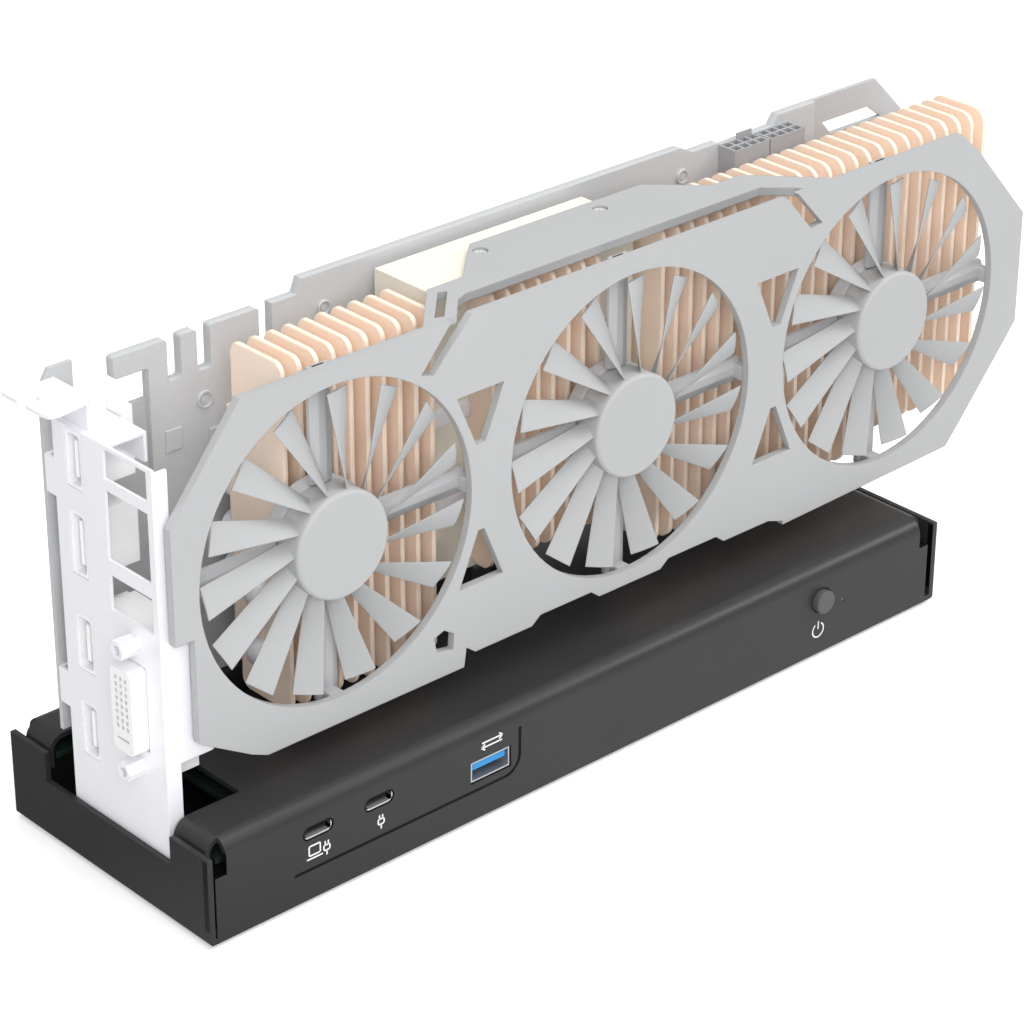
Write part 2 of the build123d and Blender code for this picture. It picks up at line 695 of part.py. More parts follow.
def back_plate():
    """Stiff plate on the back of the card, longer than the board, with a cut-out in its end."""
    end = BACK_X1
    top = CARD_TOP + CARD_RAISE
    low = CARD_TOP - ARM_GAP_DROP
    finger = CARD_TOP + FINGER_RISE
    outline = [(CARD_X0, CARD_BOTTOM), (CARD_X0, finger - 4.2), (CARD_X0 + 2.7, finger)]
    outline += [(FINGER_X1, finger), (FINGER_X1, low), (ARM_GAP_X1, low)] + card_top_edge()
    outline += [(end - PLATE_CHAMFER, top), (end, top - PLATE_CHAMFER)]
    outline += [(end, CARD_BOTTOM + 6), (end - 6, CARD_BOTTOM)]
    plate = card_sheet(outline, BACK_Y, BACK_Y + BACK_T)
    window = [(end - 35.0, top - 7.8), (end - 31.4, top - 11.9)]
    window += [(end - 10.5, top - 11.9), (end - 16.0, top - 7.8)]
    plate -= sheet_xz(window, BACK_Y - 1, BACK_Y + BACK_T + 1)
    for x, z in cooler_screw_places():
        plate -= rod_y(x, BACK_Y - 1, BACK_Y + BACK_T + 1, z, COOLER_SCREW_R + SCREW_CLEAR)
    for z in BRACKET_LUG_ZS:
        plate -= rod_y(lug_screw_x(), BACK_Y - 1, BACK_Y + BACK_T + 1, z, POST_SCREW_R + SCREW_CLEAR)
    return plate


def lug_screw_x():
    """Distance along X of the screws in the bracket's lugs."""
    return BRACKET_IN + BRACKET_LUG_L / 2


def bracket():
    """Folded bracket: pierced face, front flange with its wing, two tongues, top shelf, tab and lugs."""
    x0 = BRACKET_X
    x1 = BRACKET_IN
    face_low = BAY_SILL_Z - 0.7
    body = block(x0, x1, BRACKET_Y0, BRACKET_Y1, face_low, BRACKET_TOP)
    middle = (BRACKET_Y0 + BRACKET_Y1) / 2
    for y0, y1 in ((BRACKET_Y0 + 3, middle - 2.5), (middle + 2.5, BRACKET_Y1 - 3)):
        plane = Plane(origin=(x0, 0, 0), x_dir=(0, 1, 0), z_dir=(1, 0, 0))
        tongue = Polyline(
            (y0 - 3, face_low), (y1 + 2.5, face_low), (y1, face_low - 3.5), (y1 - 1, BRACKET_FOOT),
            (y0 + 1, BRACKET_FOOT), (y0, face_low - 3.5), close=True,
        )
        body += extrude(plane * make_face(tongue), amount=BRACKET_T)
    wall = BRACKET_Y0 + BRACKET_T
    body += block(x0, x1 + FLANGE_L, BRACKET_Y0, wall, BAY_SILL_Z + 1, BRACKET_TOP - 1)
    body += block(x0, x1 + CHEST_L, BRACKET_Y0, wall, WING_Z0, CHEST_Z1)
    body += block(x0, x1 + WING_L, BRACKET_Y0, wall, WING_Z0, WING_Z1)
    body += block(x0, SHELF_X1, SHELF_Y0, SHELF_Y1, BRACKET_TOP - BRACKET_T, BRACKET_TOP)
    body += block(SHELF_X1 - BRACKET_T, SHELF_X1, SHELF_Y0, FLAP_Y1, BRACKET_TOP - FLAP_H, BRACKET_TOP)
    body += hold_down_tab()
    for z in BRACKET_LUG_ZS:
        z0 = z - BRACKET_LUG_H / 2
        z1 = z + BRACKET_LUG_H / 2
        body += block(x0, x1, BRACKET_Y1, BACK_Y, z0, z1)
        body += block(x0, x1 + BRACKET_LUG_L, BACK_Y - BRACKET_T, BACK_Y, z0, z1)
        body -= rod_y(lug_screw_x(), BACK_Y - 2, BACK_Y + 1, z, POST_SCREW_R + SCREW_CLEAR)
    for cut in bracket_cuts():
        body -= cut
    return body


def hold_down_tab():
    """Tab that folds up off the shelf and back over the face, with a screw notch and a hooked arm."""
    tip = TAB_TIP_X
    right = TAB_RISER_X + BRACKET_T
    back = CARD_Y - CARD_SEAT_GAP
    outline = [
        (right, TAB_RISER_Y0), (right - 2, TAB_RISER_Y0 - 2.2), (tip + 3, TAB_RISER_Y0 - 3.6),
        (tip + 0.6, TAB_RISER_Y0 - 2.8), (tip, TAB_RISER_Y0), (tip, back + 1.2), (tip + 1.8, back + 3.2),
        (tip + 3.6, back + 2.8), (tip + 3.6, back - 1.3), (tip + 6, back - 2.8), (tip + 8.8, back),
        (right, back),
    ]
    tab = sheet_xy(outline, TAB_Z - BRACKET_T, TAB_Z)
    notch = TAB_NOTCH_W / 2
    tab -= block(tip - 1, tip + 2.9, TAB_NOTCH_Y - notch, TAB_NOTCH_Y + notch, TAB_Z - 2, TAB_Z + 1)
    tab -= rod_z(tip + 2.9, TAB_NOTCH_Y, TAB_Z - 2, TAB_Z + 1, notch)
    riser = block(TAB_RISER_X, right, TAB_RISER_Y0, SHELF_Y1, BRACKET_TOP - BRACKET_T, TAB_Z)
    corner = riser.edges().filter_by(Axis.Y).group_by(Axis.Z)[-1].sort_by(Axis.X)[-1]
    return tab + fillet(corner, BRACKET_T * 0.9)


def bracket_cuts():
    """Cut-outs of the bracket's face: vents, ports, pin connector and post holes."""
    x0 = BRACKET_X - 1
    x1 = BRACKET_IN + 1
    cuts = [block(x0, x1, VENT_Y0, VENT_Y1, z0, z1) for z0, z1 in VENTS_Z]
    for z, width, height in VIDEO_PORTS:
        half = width / 2 + VIDEO_WALL + 0.1
        rise = height / 2 + VIDEO_WALL + 0.1
        cuts.append(block(x0, x1, VIDEO_Y - half, VIDEO_Y + half, z - rise, z + rise))
    half = PIN_W / 2 + 0.15
    rise = PIN_H / 2 + 0.15
    cuts.append(block(x0, x1, PIN_Y - half, PIN_Y + half, PIN_Z - rise, PIN_Z + rise))
    for z in jack_heights():
        cuts.append(rod_x(x0, x1, PIN_Y, z, JACK_SHANK_R + SCREW_CLEAR))
    return cuts


def bracket_screws():
    """Two screws through the bracket's lugs into the card's back plate."""
    made = []
    for z in BRACKET_LUG_ZS:
        front = BACK_Y - BRACKET_T
        shank = rod_y(lug_screw_x(), front, BACK_Y + BACK_T, z, POST_SCREW_R)
        made.append(shank + rod_y(lug_screw_x(), front - SCREW_HEAD_H, front, z, POST_R))
    return made


def video_port(z, width, height, crown):
    """Video socket: a shell with a tongue, its nose in the bracket and its body on the board."""
    half = width / 2 + VIDEO_WALL
    rise = height / 2 + VIDEO_WALL
    nose = BRACKET_X + VIDEO_SET
    body = block(nose, nose + VIDEO_LEN, VIDEO_Y - half, VIDEO_Y + half, z - rise, z + rise)
    seat = BRACKET_IN + BRACKET_LUG_L + PORT_GAP
    body += block(seat, nose + VIDEO_LEN, VIDEO_Y + half, BACK_Y, z - rise, z + rise - VIDEO_SEAT_DROP)
    if crown > 0:
        body += block(
            SHELF_X1 + PORT_GAP, nose + VIDEO_LEN, VIDEO_Y - half, VIDEO_Y + half,
            z + rise, z + rise + crown,
        )
    body -= slot_x(nose - 1, nose + VIDEO_DEPTH, VIDEO_Y, z, width, height, 1.2)
    t = VIDEO_TONGUE_T / 2
    end = nose + VIDEO_LEN - 2
    return body + block(nose + 0.8, end, VIDEO_Y - t, VIDEO_Y + t, z - rise + 2.6, z + rise - 2.6)


def jack_heights():
    """Heights of the two posts beside the pin connector."""
    return (PIN_Z - POST_PITCH / 2, PIN_Z + POST_PITCH / 2)


def pin_connector():
    """Many-pin socket whose shell stands out of the bracket, with its body behind."""
    nose = BRACKET_X - PIN_PROUD
    shell = slot_x(nose, BRACKET_IN + 0.1, PIN_Y, PIN_Z, PIN_W, PIN_H, 1.6)
    end = PIN_Z + POST_PITCH / 2 + JACK_R
    low = PIN_Z - POST_PITCH / 2 - JACK_R
    video_front = VIDEO_Y - VIDEO_PORTS[2][1] / 2 - VIDEO_WALL
    back = BRACKET_IN + 0.1 + PIN_BODY_L
    body = shell + block(BRACKET_IN + 0.1, back, PIN_Y - 6, video_front, low, end)
    for i in range(3):
        for j in range(PIN_ROWS):
            y = PIN_Y + (i - 1) * PIN_PITCH
            z = PIN_Z - PIN_H / 2 + 7 + j * PIN_PITCH
            side = PIN_HOLE / 2
            body -= block(nose - 1, nose + 3, y - side, y + side, z - side, z + side)
    cross = PIN_Z - PIN_H / 2 + 3.6
    body -= block(nose - 1, nose + 3, PIN_Y - 2.4, PIN_Y + 2.4, cross - 0.3, cross + 0.3)
    for z in jack_heights():
        body -= rod_x(BRACKET_IN, BRACKET_IN + 5, PIN_Y, z, JACK_SHANK_R + SCREW_CLEAR)
    return body


def connector_posts():
    """Two hexagon posts with threaded mouths, screwed in beside the pin connector."""
    made = []
    for z in jack_heights():
        tip = BRACKET_X - JACK_L
        plane = Plane(origin=(tip, PIN_Y, z), x_dir=(0, 1, 0), z_dir=(1, 0, 0))
        post = extrude(plane * RegularPolygon(JACK_R, 6), amount=JACK_L)
        post += rod_x(BRACKET_X, BRACKET_IN + 4.5, PIN_Y, z, JACK_SHANK_R)
        made.append(post - rod_x(tip - 1, tip + JACK_HOLE_L, PIN_Y, z, JACK_HOLE_R))
    return made


def fin_outline(y0, y1, z0, z1, radius):
    """Side view of one fin: a plate with four rounded corners."""
    plane = Plane(origin=(0, (y0 + y1) / 2, (z0 + z1) / 2), x_dir=(0, 1, 0), z_dir=(1, 0, 0))
    return plane * RectangleRounded(y1 - y0, z1 - z0, radius)


def fin_comb(x0, pitch, count, long_count):
    """Row of upright fins on one base plate, the first long_count of them reaching lower."""
    last = x0 + pitch * (count - 1) + FIN_T
    comb = block(x0, last, FIN_BACK, FINS_BASE_BACK, FAN_Z - FIN_BASE_DROP, FAN_Z + FIN_BASE_RISE)
    short = extrude(fin_outline(FIN_FRONT, FIN_BACK, FIN_BOTTOM, FIN_TOP, FIN_R), amount=FIN_T)
    tall = extrude(fin_outline(FIN_FRONT, FIN_BACK, FIN_LONG_BOTTOM, FIN_TOP, FIN_R), amount=FIN_T)
    fins = [tall if k < long_count else short for k in range(count)]
    return comb.fuse(*[Pos(x0 + pitch * k, 0, 0) * fin for k, fin in enumerate(fins)])


def fins_middle():
    """Short fins that stand on the front of the heat block."""
    x1 = FIN_MID_X + FIN_PITCH_LEFT * (FIN_MID_N - 1) + FIN_T
    web = block(FIN_MID_X, x1, BLOCK_FRONT - 1.2, BLOCK_FRONT, BLOCK_Z0 + 3, BLOCK_Z1 - 3)
    fin = extrude(fin_outline(FIN_FRONT, BLOCK_FRONT, FIN_BOTTOM + 8, FIN_TOP - 1, FIN_R * 0.9), amount=FIN_T)
    return web.fuse(*[Pos(FIN_MID_X + FIN_PITCH_LEFT * k, 0, 0) * fin for k in range(FIN_MID_N)])


def cooler_screw_places():
    """Centres of the four screws that pull the cooler onto the chip."""
    x = chip_x()
    reach = CHIP_W / 2 + 5
    mid = chip_z()
    return [(x + i * reach, mid + j * reach) for i in (-1, 1) for j in (-1, 1)]


def chip_x():
    """Middle of the chip along X: the middle of the heat block."""
    return (BLOCK_X0 + BLOCK_X1) / 2


def chip_z():
    """Middle of the chip in height: between the inner heat pipes."""
    return (PIPE_ZS[1] + PIPE_ZS[2]) / 2


def heat_block():
    """Solid block over the chip, with channels for the pipes in its back."""
    body = block(BLOCK_X0, BLOCK_X1, BLOCK_FRONT, BLOCK_BACK, BLOCK_Z0, BLOCK_Z1)
    for z in PIPE_ZS:
        body -= block(
            BLOCK_X0 - 1, BLOCK_X1 + 1, FINS_BASE_BACK, BLOCK_BACK + 1,
            z - PIPE_H / 2, z + PIPE_H / 2,
        )
    for x, z in cooler_screw_places():
        body -= rod_y(x, BLOCK_BACK - 6, BLOCK_BACK + 1, z, COOLER_SCREW_R + SCREW_CLEAR)
    for x in PLATE_SCREW_XS:
        body -= rod_z(x, PLATE_SCREW_Y, BLOCK_Z1 - 6, BLOCK_Z1 + 1, PLATE_SCREW_R / 2 + SCREW_CLEAR)
    return body


def heat_pipe(z):
    """Flattened pipe along the backs of both fin stacks and through the block."""
    x0 = FIN_LEFT_X + 1
    x1 = FIN_RIGHT_X + FIN_PITCH_RIGHT * (FIN_RIGHT_N - 1)
    mid = FINS_BASE_BACK + PIPE_D / 2
    bar = block(x0, x1, mid - PIPE_D / 2, mid + PIPE_D / 2, z - PIPE_H / 2, z + PIPE_H / 2)
    ends = bar.faces().sort_by(Axis.X)
    return fillet(ends[0].edges().filter_by(Axis.Y) + ends[-1].edges().filter_by(Axis.Y), PIPE_H / 2 - 0.3)


def chip_package():
    """Square package between the card's board and the heat block."""
    half = CHIP_W / 2
    return block(chip_x() - half, chip_x() + half, BLOCK_BACK, CARD_Y, chip_z() - half, chip_z() + half)


def cooler_screws():
    """Four screws through the back plate and the board into the heat block."""
    made = []
    back = BACK_Y + BACK_T
    for x, z in cooler_screw_places():
        shank = rod_y(x, BLOCK_BACK - 5, back, z, COOLER_SCREW_R)
        made.append(shank + rod_y(x, back, back + COOLER_HEAD_H, z, COOLER_HEAD_R))
    return made


def socket_width():
    """Width of a power socket of the card."""
    return SOCKET_COLUMNS * SOCKET_PITCH + SOCKET_WALL


def power_socket(x0):
    """Power socket at the card's top edge, two rows deep, open upward."""
    width = socket_width()
    depth = 2 * SOCKET_PITCH
    body = block(x0, x0 + width, CARD_Y - depth, CARD_Y, SOCKET_TOP - SOCKET_H, SOCKET_TOP)
    side = SOCKET_CELL / 2
    for i in range(SOCKET_COLUMNS):
        for j in range(2):
            cx = x0 + width / 2 + (i - (SOCKET_COLUMNS - 1) / 2) * SOCKET_PITCH
            cy = CARD_Y - depth / 2 + (j - 0.5) * SOCKET_PITCH
            body -= block(cx - side, cx + side, cy - side, cy + side, SOCKET_TOP - CELL_DEPTH, SOCKET_TOP + 1)
    return body


def socket_clip():
    """Clip that stands up from the first socket's back wall."""
    x1 = SOCKET_X + socket_width() - 1
    return block(x1 - CLIP_W, x1, CARD_Y - 0.35, CARD_Y, SOCKET_TOP - 1, SOCKET_TOP + CLIP_H)


def shroud_outline():
    """Front outline of the shroud, clockwise from its lower left."""
    b = SHROUD_BOTTOM
    t = SHROUD_TOP
    left = SHROUD_LEFT
    right = SHROUD_RIGHT
    points = [(left + 26, b), (left + 21, b + 2.2), (left + 5.6, b + 11.3), (left + 5.6, FAN_Z - 9.8)]
    points += [(left, FAN_Z - 9.8), (left, FAN_Z + 21), (left + 21.5, t)]
    points += [(right - 29, t), (right - 21, FAN_Z + 40.7), (right, FAN_Z + 17)]
    points += [(right, FAN_Z - 16.5), (right - 21.5, b + 8.2), (right - 27.4, b + 1.8)]
    mid = FAN_XS[1]
    points += [(mid + 58.5, b), (mid + 58.5, b + 1.1), (mid + 52.5, b + 3.1)]
    for centre in (mid + 23.2, mid - 23.2):
        points += [(centre + 12, b + 3.1), (centre + 9, b + 5.4)]
        points += [(centre - 9, b + 5.4), (centre - 12, b + 3.1)]
    points += [(mid - 54.8, b + 3.1), (mid - 57.8, b + 5.4), (mid - 58.6, b)]
    return points


def shroud_windows():
    """Small openings between the fans: two pairs of triangles, a bolt window and two slashes."""
    mid = FAN_XS[1]
    t = SHROUD_TOP
    shapes = []
    for x in (mid - 52.7, mid + 52.7):
        for side, reach, outer, inner in ((1, 26.5, 7.8, 1.5), (-1, 27, 7.4, 1)):
            near = FAN_Z + side * 12
            far = FAN_Z + side * reach
            shapes.append([(x - outer, far), (x + outer, far), (x + inner, near), (x - inner, near)])
    x = mid - 65.3
    bolt = [(x - 3.4, FAN_Z - 37.6), (x, FAN_Z - 36.4), (x + 3.4, FAN_Z - 38.6)]
    shapes.append(bolt + [(x + 3, FAN_Z - 43), (x - 2.4, FAN_Z - 42)])
    shapes.append([(mid - 61, t + 1), (mid - 71.9, t - 11.5), (mid - 67.9, t - 12.6), (mid - 54.6, t + 1)])
    shapes.append([(mid + 54, t + 1), (mid + 64.7, t - 11.2), (mid + 68.9, t - 10.6), (mid + 58.3, t + 1)])
    return shapes


def shroud_top_plate():
    """Top plate that reaches back over the cooler, with its slanted ends and the long slit."""
    mid = FAN_XS[1]
    y0 = SHROUD_FRONT
    wall = y0 + SHROUD_T
    under = BLOCK_Z1
    plate = sheet_xy(
        [
            (mid - 71.5, y0), (mid - 54.1, y0 + 18.4), (mid - 42.2, y0 + 18.4), (mid - 27.2, y0 + 32.9),
            (mid + 33.1, y0 + 32.9), (mid + 46.8, y0 + 20), (mid + 57.9, y0 + 20), (mid + 72.1, y0 + 4.5),
            (mid + 75.5, y0),
        ],
        under,
        SHROUD_TOP,
    )
    slit_back = wall + SLIT_W
    slit = [
        (mid - 58.5, wall), (mid - 52, slit_back - 1.3), (mid - 48.5, slit_back), (mid + 55.2, slit_back),
        (mid + 62, wall + 1.8), (mid + 63, wall),
    ]
    plate -= sheet_xy(slit, under - 1, SHROUD_TOP + 1)
    slot = [(mid - 63.9, y0 + 4.2), (mid - 61.5, y0 + 3.4), (mid - 50.9, y0 + 14.4), (mid - 53.1, y0 + 15.4)]
    return plate - sheet_xy(slot, under - 1, SHROUD_TOP + 1)


def fan_shroud():
    """Moulded shroud: front plate with three round openings, and the top plate that bends off it."""
    y0 = SHROUD_FRONT
    y1 = y0 + SHROUD_T
    plate = sheet_xz(shroud_outline(), y0, y1)
    for x in FAN_XS:
        plate -= rod_y(x, y0 - 1, y1 + 1, FAN_Z, OPENING_R)
    plate += shroud_top_plate()
    for shape in shroud_windows():
        plate -= sheet_xz(shape, y0 - 1, y1 + 0.01)
    for x in PLATE_SCREW_XS:
        plate -= rod_z(x, PLATE_SCREW_Y, BLOCK_Z1 - 1, SHROUD_TOP + 1, PLATE_SCREW_R / 2 + SCREW_CLEAR)
        plate -= rod_z(x, PLATE_SCREW_Y, SHROUD_TOP - 1.1, SHROUD_TOP + 1, PLATE_SCREW_R + 2 * SCREW_CLEAR)
    return plate


def shroud_screws():
    """Two sunk screws through the top plate into the heat block."""
    made = []
    for x in PLATE_SCREW_XS:
        shank = rod_z(x, PLATE_SCREW_Y, BLOCK_Z1 - 5, SHROUD_TOP - 1.1, PLATE_SCREW_R / 2)
        made.append(shank + rod_z(x, PLATE_SCREW_Y, SHROUD_TOP - 1.1, SHROUD_TOP - 0.4, PLATE_SCREW_R))
    return made


def fan_frame(x):
    """Motor seat behind the rotor, on four arms with posts up to the shroud."""
    frame = rod_y(x, FRAME_FRONT, FRAME_BACK, FAN_Z, HUB_R - 1)
    for k in range(4):
        arm = block(-ARM_W / 2, ARM_W / 2, FRAME_BACK - ARM_T, FRAME_BACK, HUB_R - 2, ARM_END_R)
        post = block(
            -ARM_W / 2 - 0.6, ARM_W / 2 + 0.6, SHROUD_FRONT + SHROUD_T, FRAME_BACK,
            ARM_END_R - ARM_POST_L, ARM_END_R,
        )
        frame += Pos(x, 0, FAN_Z) * Rot(0, 90 * k, 0) * (arm + post)
    return frame - rod_y(x, FRAME_FRONT - 1, FRAME_BACK + 1, FAN_Z, FAN_SHAFT_R + FAN_SHAFT_GAP)


def blade_section(radius, angle, depth):
    """Slanted section of a blade: a thin four-sided face square to the radius at that angle."""
    width = 2 * radius * sin(radians(BLADE_ARC / 2))
    middle = BLADE_FRONT + BLADE_DEPTH_ROOT / 2
    pitch = asin(min(0.95, depth / (width**2 + depth**2) ** 0.5))
    half = (width**2 + depth**2) ** 0.5 / 2
    t = BLADE_T / 2
    c, s = cos(pitch), sin(pitch)
    corners = [(-half, -t), (half, -t), (half, t), (-half, t)]
    turned = [(u * c - v * s, u * s + v * c) for u, v in corners]
    a = radians(angle)
    shift = middle - (BLADE_DEPTH_ROOT - depth) / 2
    points = [
        (radius * sin(a) + u * cos(a), shift + v, radius * cos(a) - u * sin(a))
        for u, v in turned
    ]
    return Face(Wire(Polyline(*points, close=True).edges()))


def blade():
    """One swept and twisted blade, from inside the hub to its tip."""
    inner = HUB_R - 1.5
    steps = 3
    sections = []
    for k in range(steps + 1):
        share = k / steps
        radius = inner + share * (BLADE_TIP_R - inner)
        angle = BLADE_SWEEP * (1 - share)
        depth = BLADE_DEPTH_ROOT + share * (BLADE_DEPTH_TIP - BLADE_DEPTH_ROOT)
        sections.append(blade_section(radius, angle, depth))
    return Solid.make_loft([face.outer_wire() for face in sections], ruled=True)


def rotor():
    """Hub with its ring of blades and the shaft behind it, centred on the Y axis."""
    hub = rod_y(0, HUB_FRONT, HUB_BACK, 0, HUB_R)
    rim = hub.edges().filter_by_position(Axis.Y, HUB_FRONT - 0.01, HUB_FRONT + 0.01)
    hub = fillet(rim, HUB_EDGE_R)
    hub += rod_y(0, HUB_BACK, FRAME_BACK - 0.4, 0, FAN_SHAFT_R)
    single = blade()
    blades = [Rot(0, 360 / BLADES * k, 0) * single for k in range(BLADES)]
    return hub.fuse(*blades)


save(base_tray(), "base_tray")
save(top_cover(), "top_cover")
save(feet(), "rubber_feet")
save(cover_screws(), "cover_screws")
save(posts(), "board_posts")
save(board_screws(), "board_screws")
save(main_board(), "main_board")
save(controller_chip(), "controller_chip")
save(bracket_guide(), "bracket_guide")
for number, port_x in enumerate(OVAL_XS, 1):
    save(oval_port(port_x), "oval_port_" + str(number))
save(wide_port(), "wide_port")
save(wide_port_tongue(), "wide_port_tongue")
save(power_button(), "power_button")
save(button_switch(), "button_switch")
save(light_pipe(), "light_pipe")
save(power_inlet(), "power_inlet")
save(card_slot(), "card_slot")
save(slot_latch(), "slot_latch")
save(card_board(), "card_board")
save(back_plate(), "back_plate")
save(bracket(), "bracket")
save(bracket_screws(), "bracket_screws")
for number, port in enumerate(VIDEO_PORTS, 1):
    save(video_port(*port, VIDEO_CROWN if number == 1 else 0), "video_port_" + str(number))
save(pin_connector(), "pin_connector")
save(connector_posts(), "connector_posts")
save(fin_comb(FIN_LEFT_X, FIN_PITCH_LEFT, FIN_LEFT_N, 0), "fins_left")
save(fins_middle(), "fins_middle")
save(fin_comb(FIN_RIGHT_X, FIN_PITCH_RIGHT, FIN_RIGHT_N, FIN_RIGHT_LONG_N), "fins_right")
save(heat_block(), "heat_block")
for number, pipe_z in enumerate(PIPE_ZS, 1):
    save(heat_pipe(pipe_z), "heat_pipe_" + str(number))
save(chip_package(), "chip_package")
save(cooler_screws(), "cooler_screws")
save(power_socket(SOCKET_X) + socket_clip(), "power_socket_1")
save(power_socket(SOCKET_X + socket_width() + SOCKET_GAP), "power_socket_2")
save(fan_shroud(), "fan_shroud")
save(shroud_screws(), "shroud_screws")
fan = rotor()
for number, fan_x in enumerate(FAN_XS, 1):
    save(fan_frame(fan_x), "fan_frame_" + str(number))
    save(Pos(fan_x, 0, FAN_Z) * fan, "fan_" + str(number))
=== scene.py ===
from math import pi, radians

import bpy
import bmesh
import numpy as np
from mathutils import Matrix, Vector


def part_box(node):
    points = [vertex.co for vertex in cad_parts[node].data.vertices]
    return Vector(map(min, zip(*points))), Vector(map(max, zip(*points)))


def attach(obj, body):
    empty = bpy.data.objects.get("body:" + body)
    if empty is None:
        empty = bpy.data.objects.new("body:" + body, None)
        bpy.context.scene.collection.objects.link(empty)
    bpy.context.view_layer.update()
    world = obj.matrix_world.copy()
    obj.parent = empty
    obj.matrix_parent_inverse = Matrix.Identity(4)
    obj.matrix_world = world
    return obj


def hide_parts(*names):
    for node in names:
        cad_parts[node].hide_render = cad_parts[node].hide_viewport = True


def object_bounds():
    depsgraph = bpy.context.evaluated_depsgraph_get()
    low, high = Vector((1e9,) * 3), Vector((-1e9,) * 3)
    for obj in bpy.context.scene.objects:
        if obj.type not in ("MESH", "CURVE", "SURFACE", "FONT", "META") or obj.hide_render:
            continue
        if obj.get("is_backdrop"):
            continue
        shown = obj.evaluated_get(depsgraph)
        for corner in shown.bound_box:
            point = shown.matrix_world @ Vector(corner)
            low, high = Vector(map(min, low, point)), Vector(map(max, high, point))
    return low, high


bl_info = {
    "name": "Desktop card dock dressing",
    "version": (1, 0, 0),
    "blender": (4, 5, 0),
    "location": "View3D > Sidebar > Card Dock",
    "description": "Finishes, signs, screws, fans, fins, contacts and board parts for a card dock",
    "category": "Object",
}

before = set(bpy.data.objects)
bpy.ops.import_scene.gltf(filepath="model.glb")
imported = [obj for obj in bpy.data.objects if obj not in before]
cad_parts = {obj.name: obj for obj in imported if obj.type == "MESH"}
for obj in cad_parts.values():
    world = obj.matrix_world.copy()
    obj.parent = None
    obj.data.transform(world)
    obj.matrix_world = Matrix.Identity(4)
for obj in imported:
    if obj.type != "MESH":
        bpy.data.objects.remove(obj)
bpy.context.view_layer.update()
ROOT = "dock_and_card"
MM = 0.001

# Sizes in millimetres. Depths are measured back from the front of the piece, heights up from the
# foot of the dock, and places along the card from the middle of the dock.

# The dock's front skin, as the box that holds the floor of its engraved line and its ports' edges; inside it
# the coat is painted black, a painted shade
PAINTED_SHADE_LOW = (-200.0, -39.95, 5.0)
PAINTED_SHADE_HIGH = (200.0, -38.2, 25.0)
# Above the lower lip and left of the right-hand rim, the inside of an oval port's shell is painted dark, a
# painted shade; the lip and the rim keep the metal's colour
SILL_HEIGHT = 0.55  # bright lower lip of an oval port
RIM_WIDTH = 0.4  # bright right-hand rim of an oval port

# Screws: node, way out, how many across and along, height of the head, radius of the shank
SCREW_ROWS = (
    ("cover_screws", (0, 1, 0), 2, 1, 1.3, 1.45),
    ("board_screws", (0, 0, 1), 3, 2, 1.2, 1.2),
    ("bracket_screws", (0, -1, 0), 1, 2, 1.3, 1.2),
    ("cooler_screws", (0, 1, 0), 2, 2, 1.1, 1.2),
    ("shroud_screws", (0, 0, 1), 2, 1, 0.7, 1.0),
)
HEAD_RADII = {"board_screws": 2.8, "cooler_screws": 2.8}

# Fans: places of the shafts, cap, shaft and depths of the rotor
BLADES = 15
FAN_XS = (-93.85, 4.45, 102.75)
FAN_Z = 86.13
HUB_RADIUS = 14.3
CAP_EDGE = 1.0
CAP_DEPTH = 8.3
SHAFT_RADIUS = 1.4
SHAFT_DEPTH = 12.4
# Corners of a blade: radius, clockwise degrees and depth
LEAD_TIP = (40.3, -3.6, 2.2)
TRAIL_TIP = (40.3, 8.0, 4.6)
LEAD_ROOT = (14.0, 10.0, 1.6)
TRAIL_ROOT = (14.0, 22.5, 5.8)
# Motor frame: section of the seat's ring as (radius, height), section of an arm as (across, depth),
# and how far the arm reaches from the shaft, station by station
SEAT_RADIUS = 14.6
SEAT_RING = (
    (SEAT_RADIUS - 0.6, -8.6), (SEAT_RADIUS, -9.2), (SEAT_RADIUS, -12.8), (1.7, -12.8), (1.7, -8.9),
    (13.0, -8.9), (13.4, -8.6), (SEAT_RADIUS - 0.6, -8.6),
)
ARM_SECTION = ((-3.3, 9.2), (-3.3, 8.0), (-1.2, 7.0), (1.0, 7.0), (3.3, 8.0), (3.3, 9.2))
ARM_END = 45.2
ARM_STATIONS = (14.5, 20.0, 30.0, 38.0, ARM_END)
ARM_DEPTH = 9.0
POST_HALF = 2.1
POST_LENGTH = 2.6
SHROUD_THICK = 2.2

# Left fins, the pipes that end in them, and the pipes' bands on the heat block
FIN_DROP = 8.2
FIN_THICK = 1.4
FIN_CORNER = 3.0
LEFT_FINS = 10
SPINE_THICK = 2.5
SPINE_RISE = 8.0
SPINE_FALL = 17.9
PIPE_R = 3.8
PIPE_LENGTH = 46.0
PIPE_DEPTH = 8.5
PIPE_DROPS = (37.1, 20.5)
BAND_RISES = (-15.2, 9.8)
BAND_LENGTH = 14.0
BAND_HALF = 2.6

# Contacts: how many, half their width, and where they start and end along the port's depth
OVAL_CONTACTS = 12
OVAL_CONTACT_HALF = 0.13
OVAL_CONTACT_ENDS = (1.6, 4.6)
OVAL_ROW_RISE = 0.36
WIDE_CONTACTS = 4
WIDE_CONTACT_HALF = 0.6
PIN_PITCH = 3.2
PIN_HALF = 0.4
PIN_ENDS = (9.4, 2.2)

# Parts on the card's board, from the board's left edge and the dock's foot: chips as
# (left, low, right, high) and eyelets as (along, up, radius)
CHIPS = ((36.0, 99.2, 41.1, 105.1), (49.3, 95.0, 55.0, 101.6))
CHIP_HEIGHT = 0.5
EYELETS = ((48.3, 109.9, 2.4), (86.3, 123.2, 2.0), (212.4, 124.6, 2.1))
BOARD_INSET = 1.8  # the board's left edge lies this far to the left of the plate's

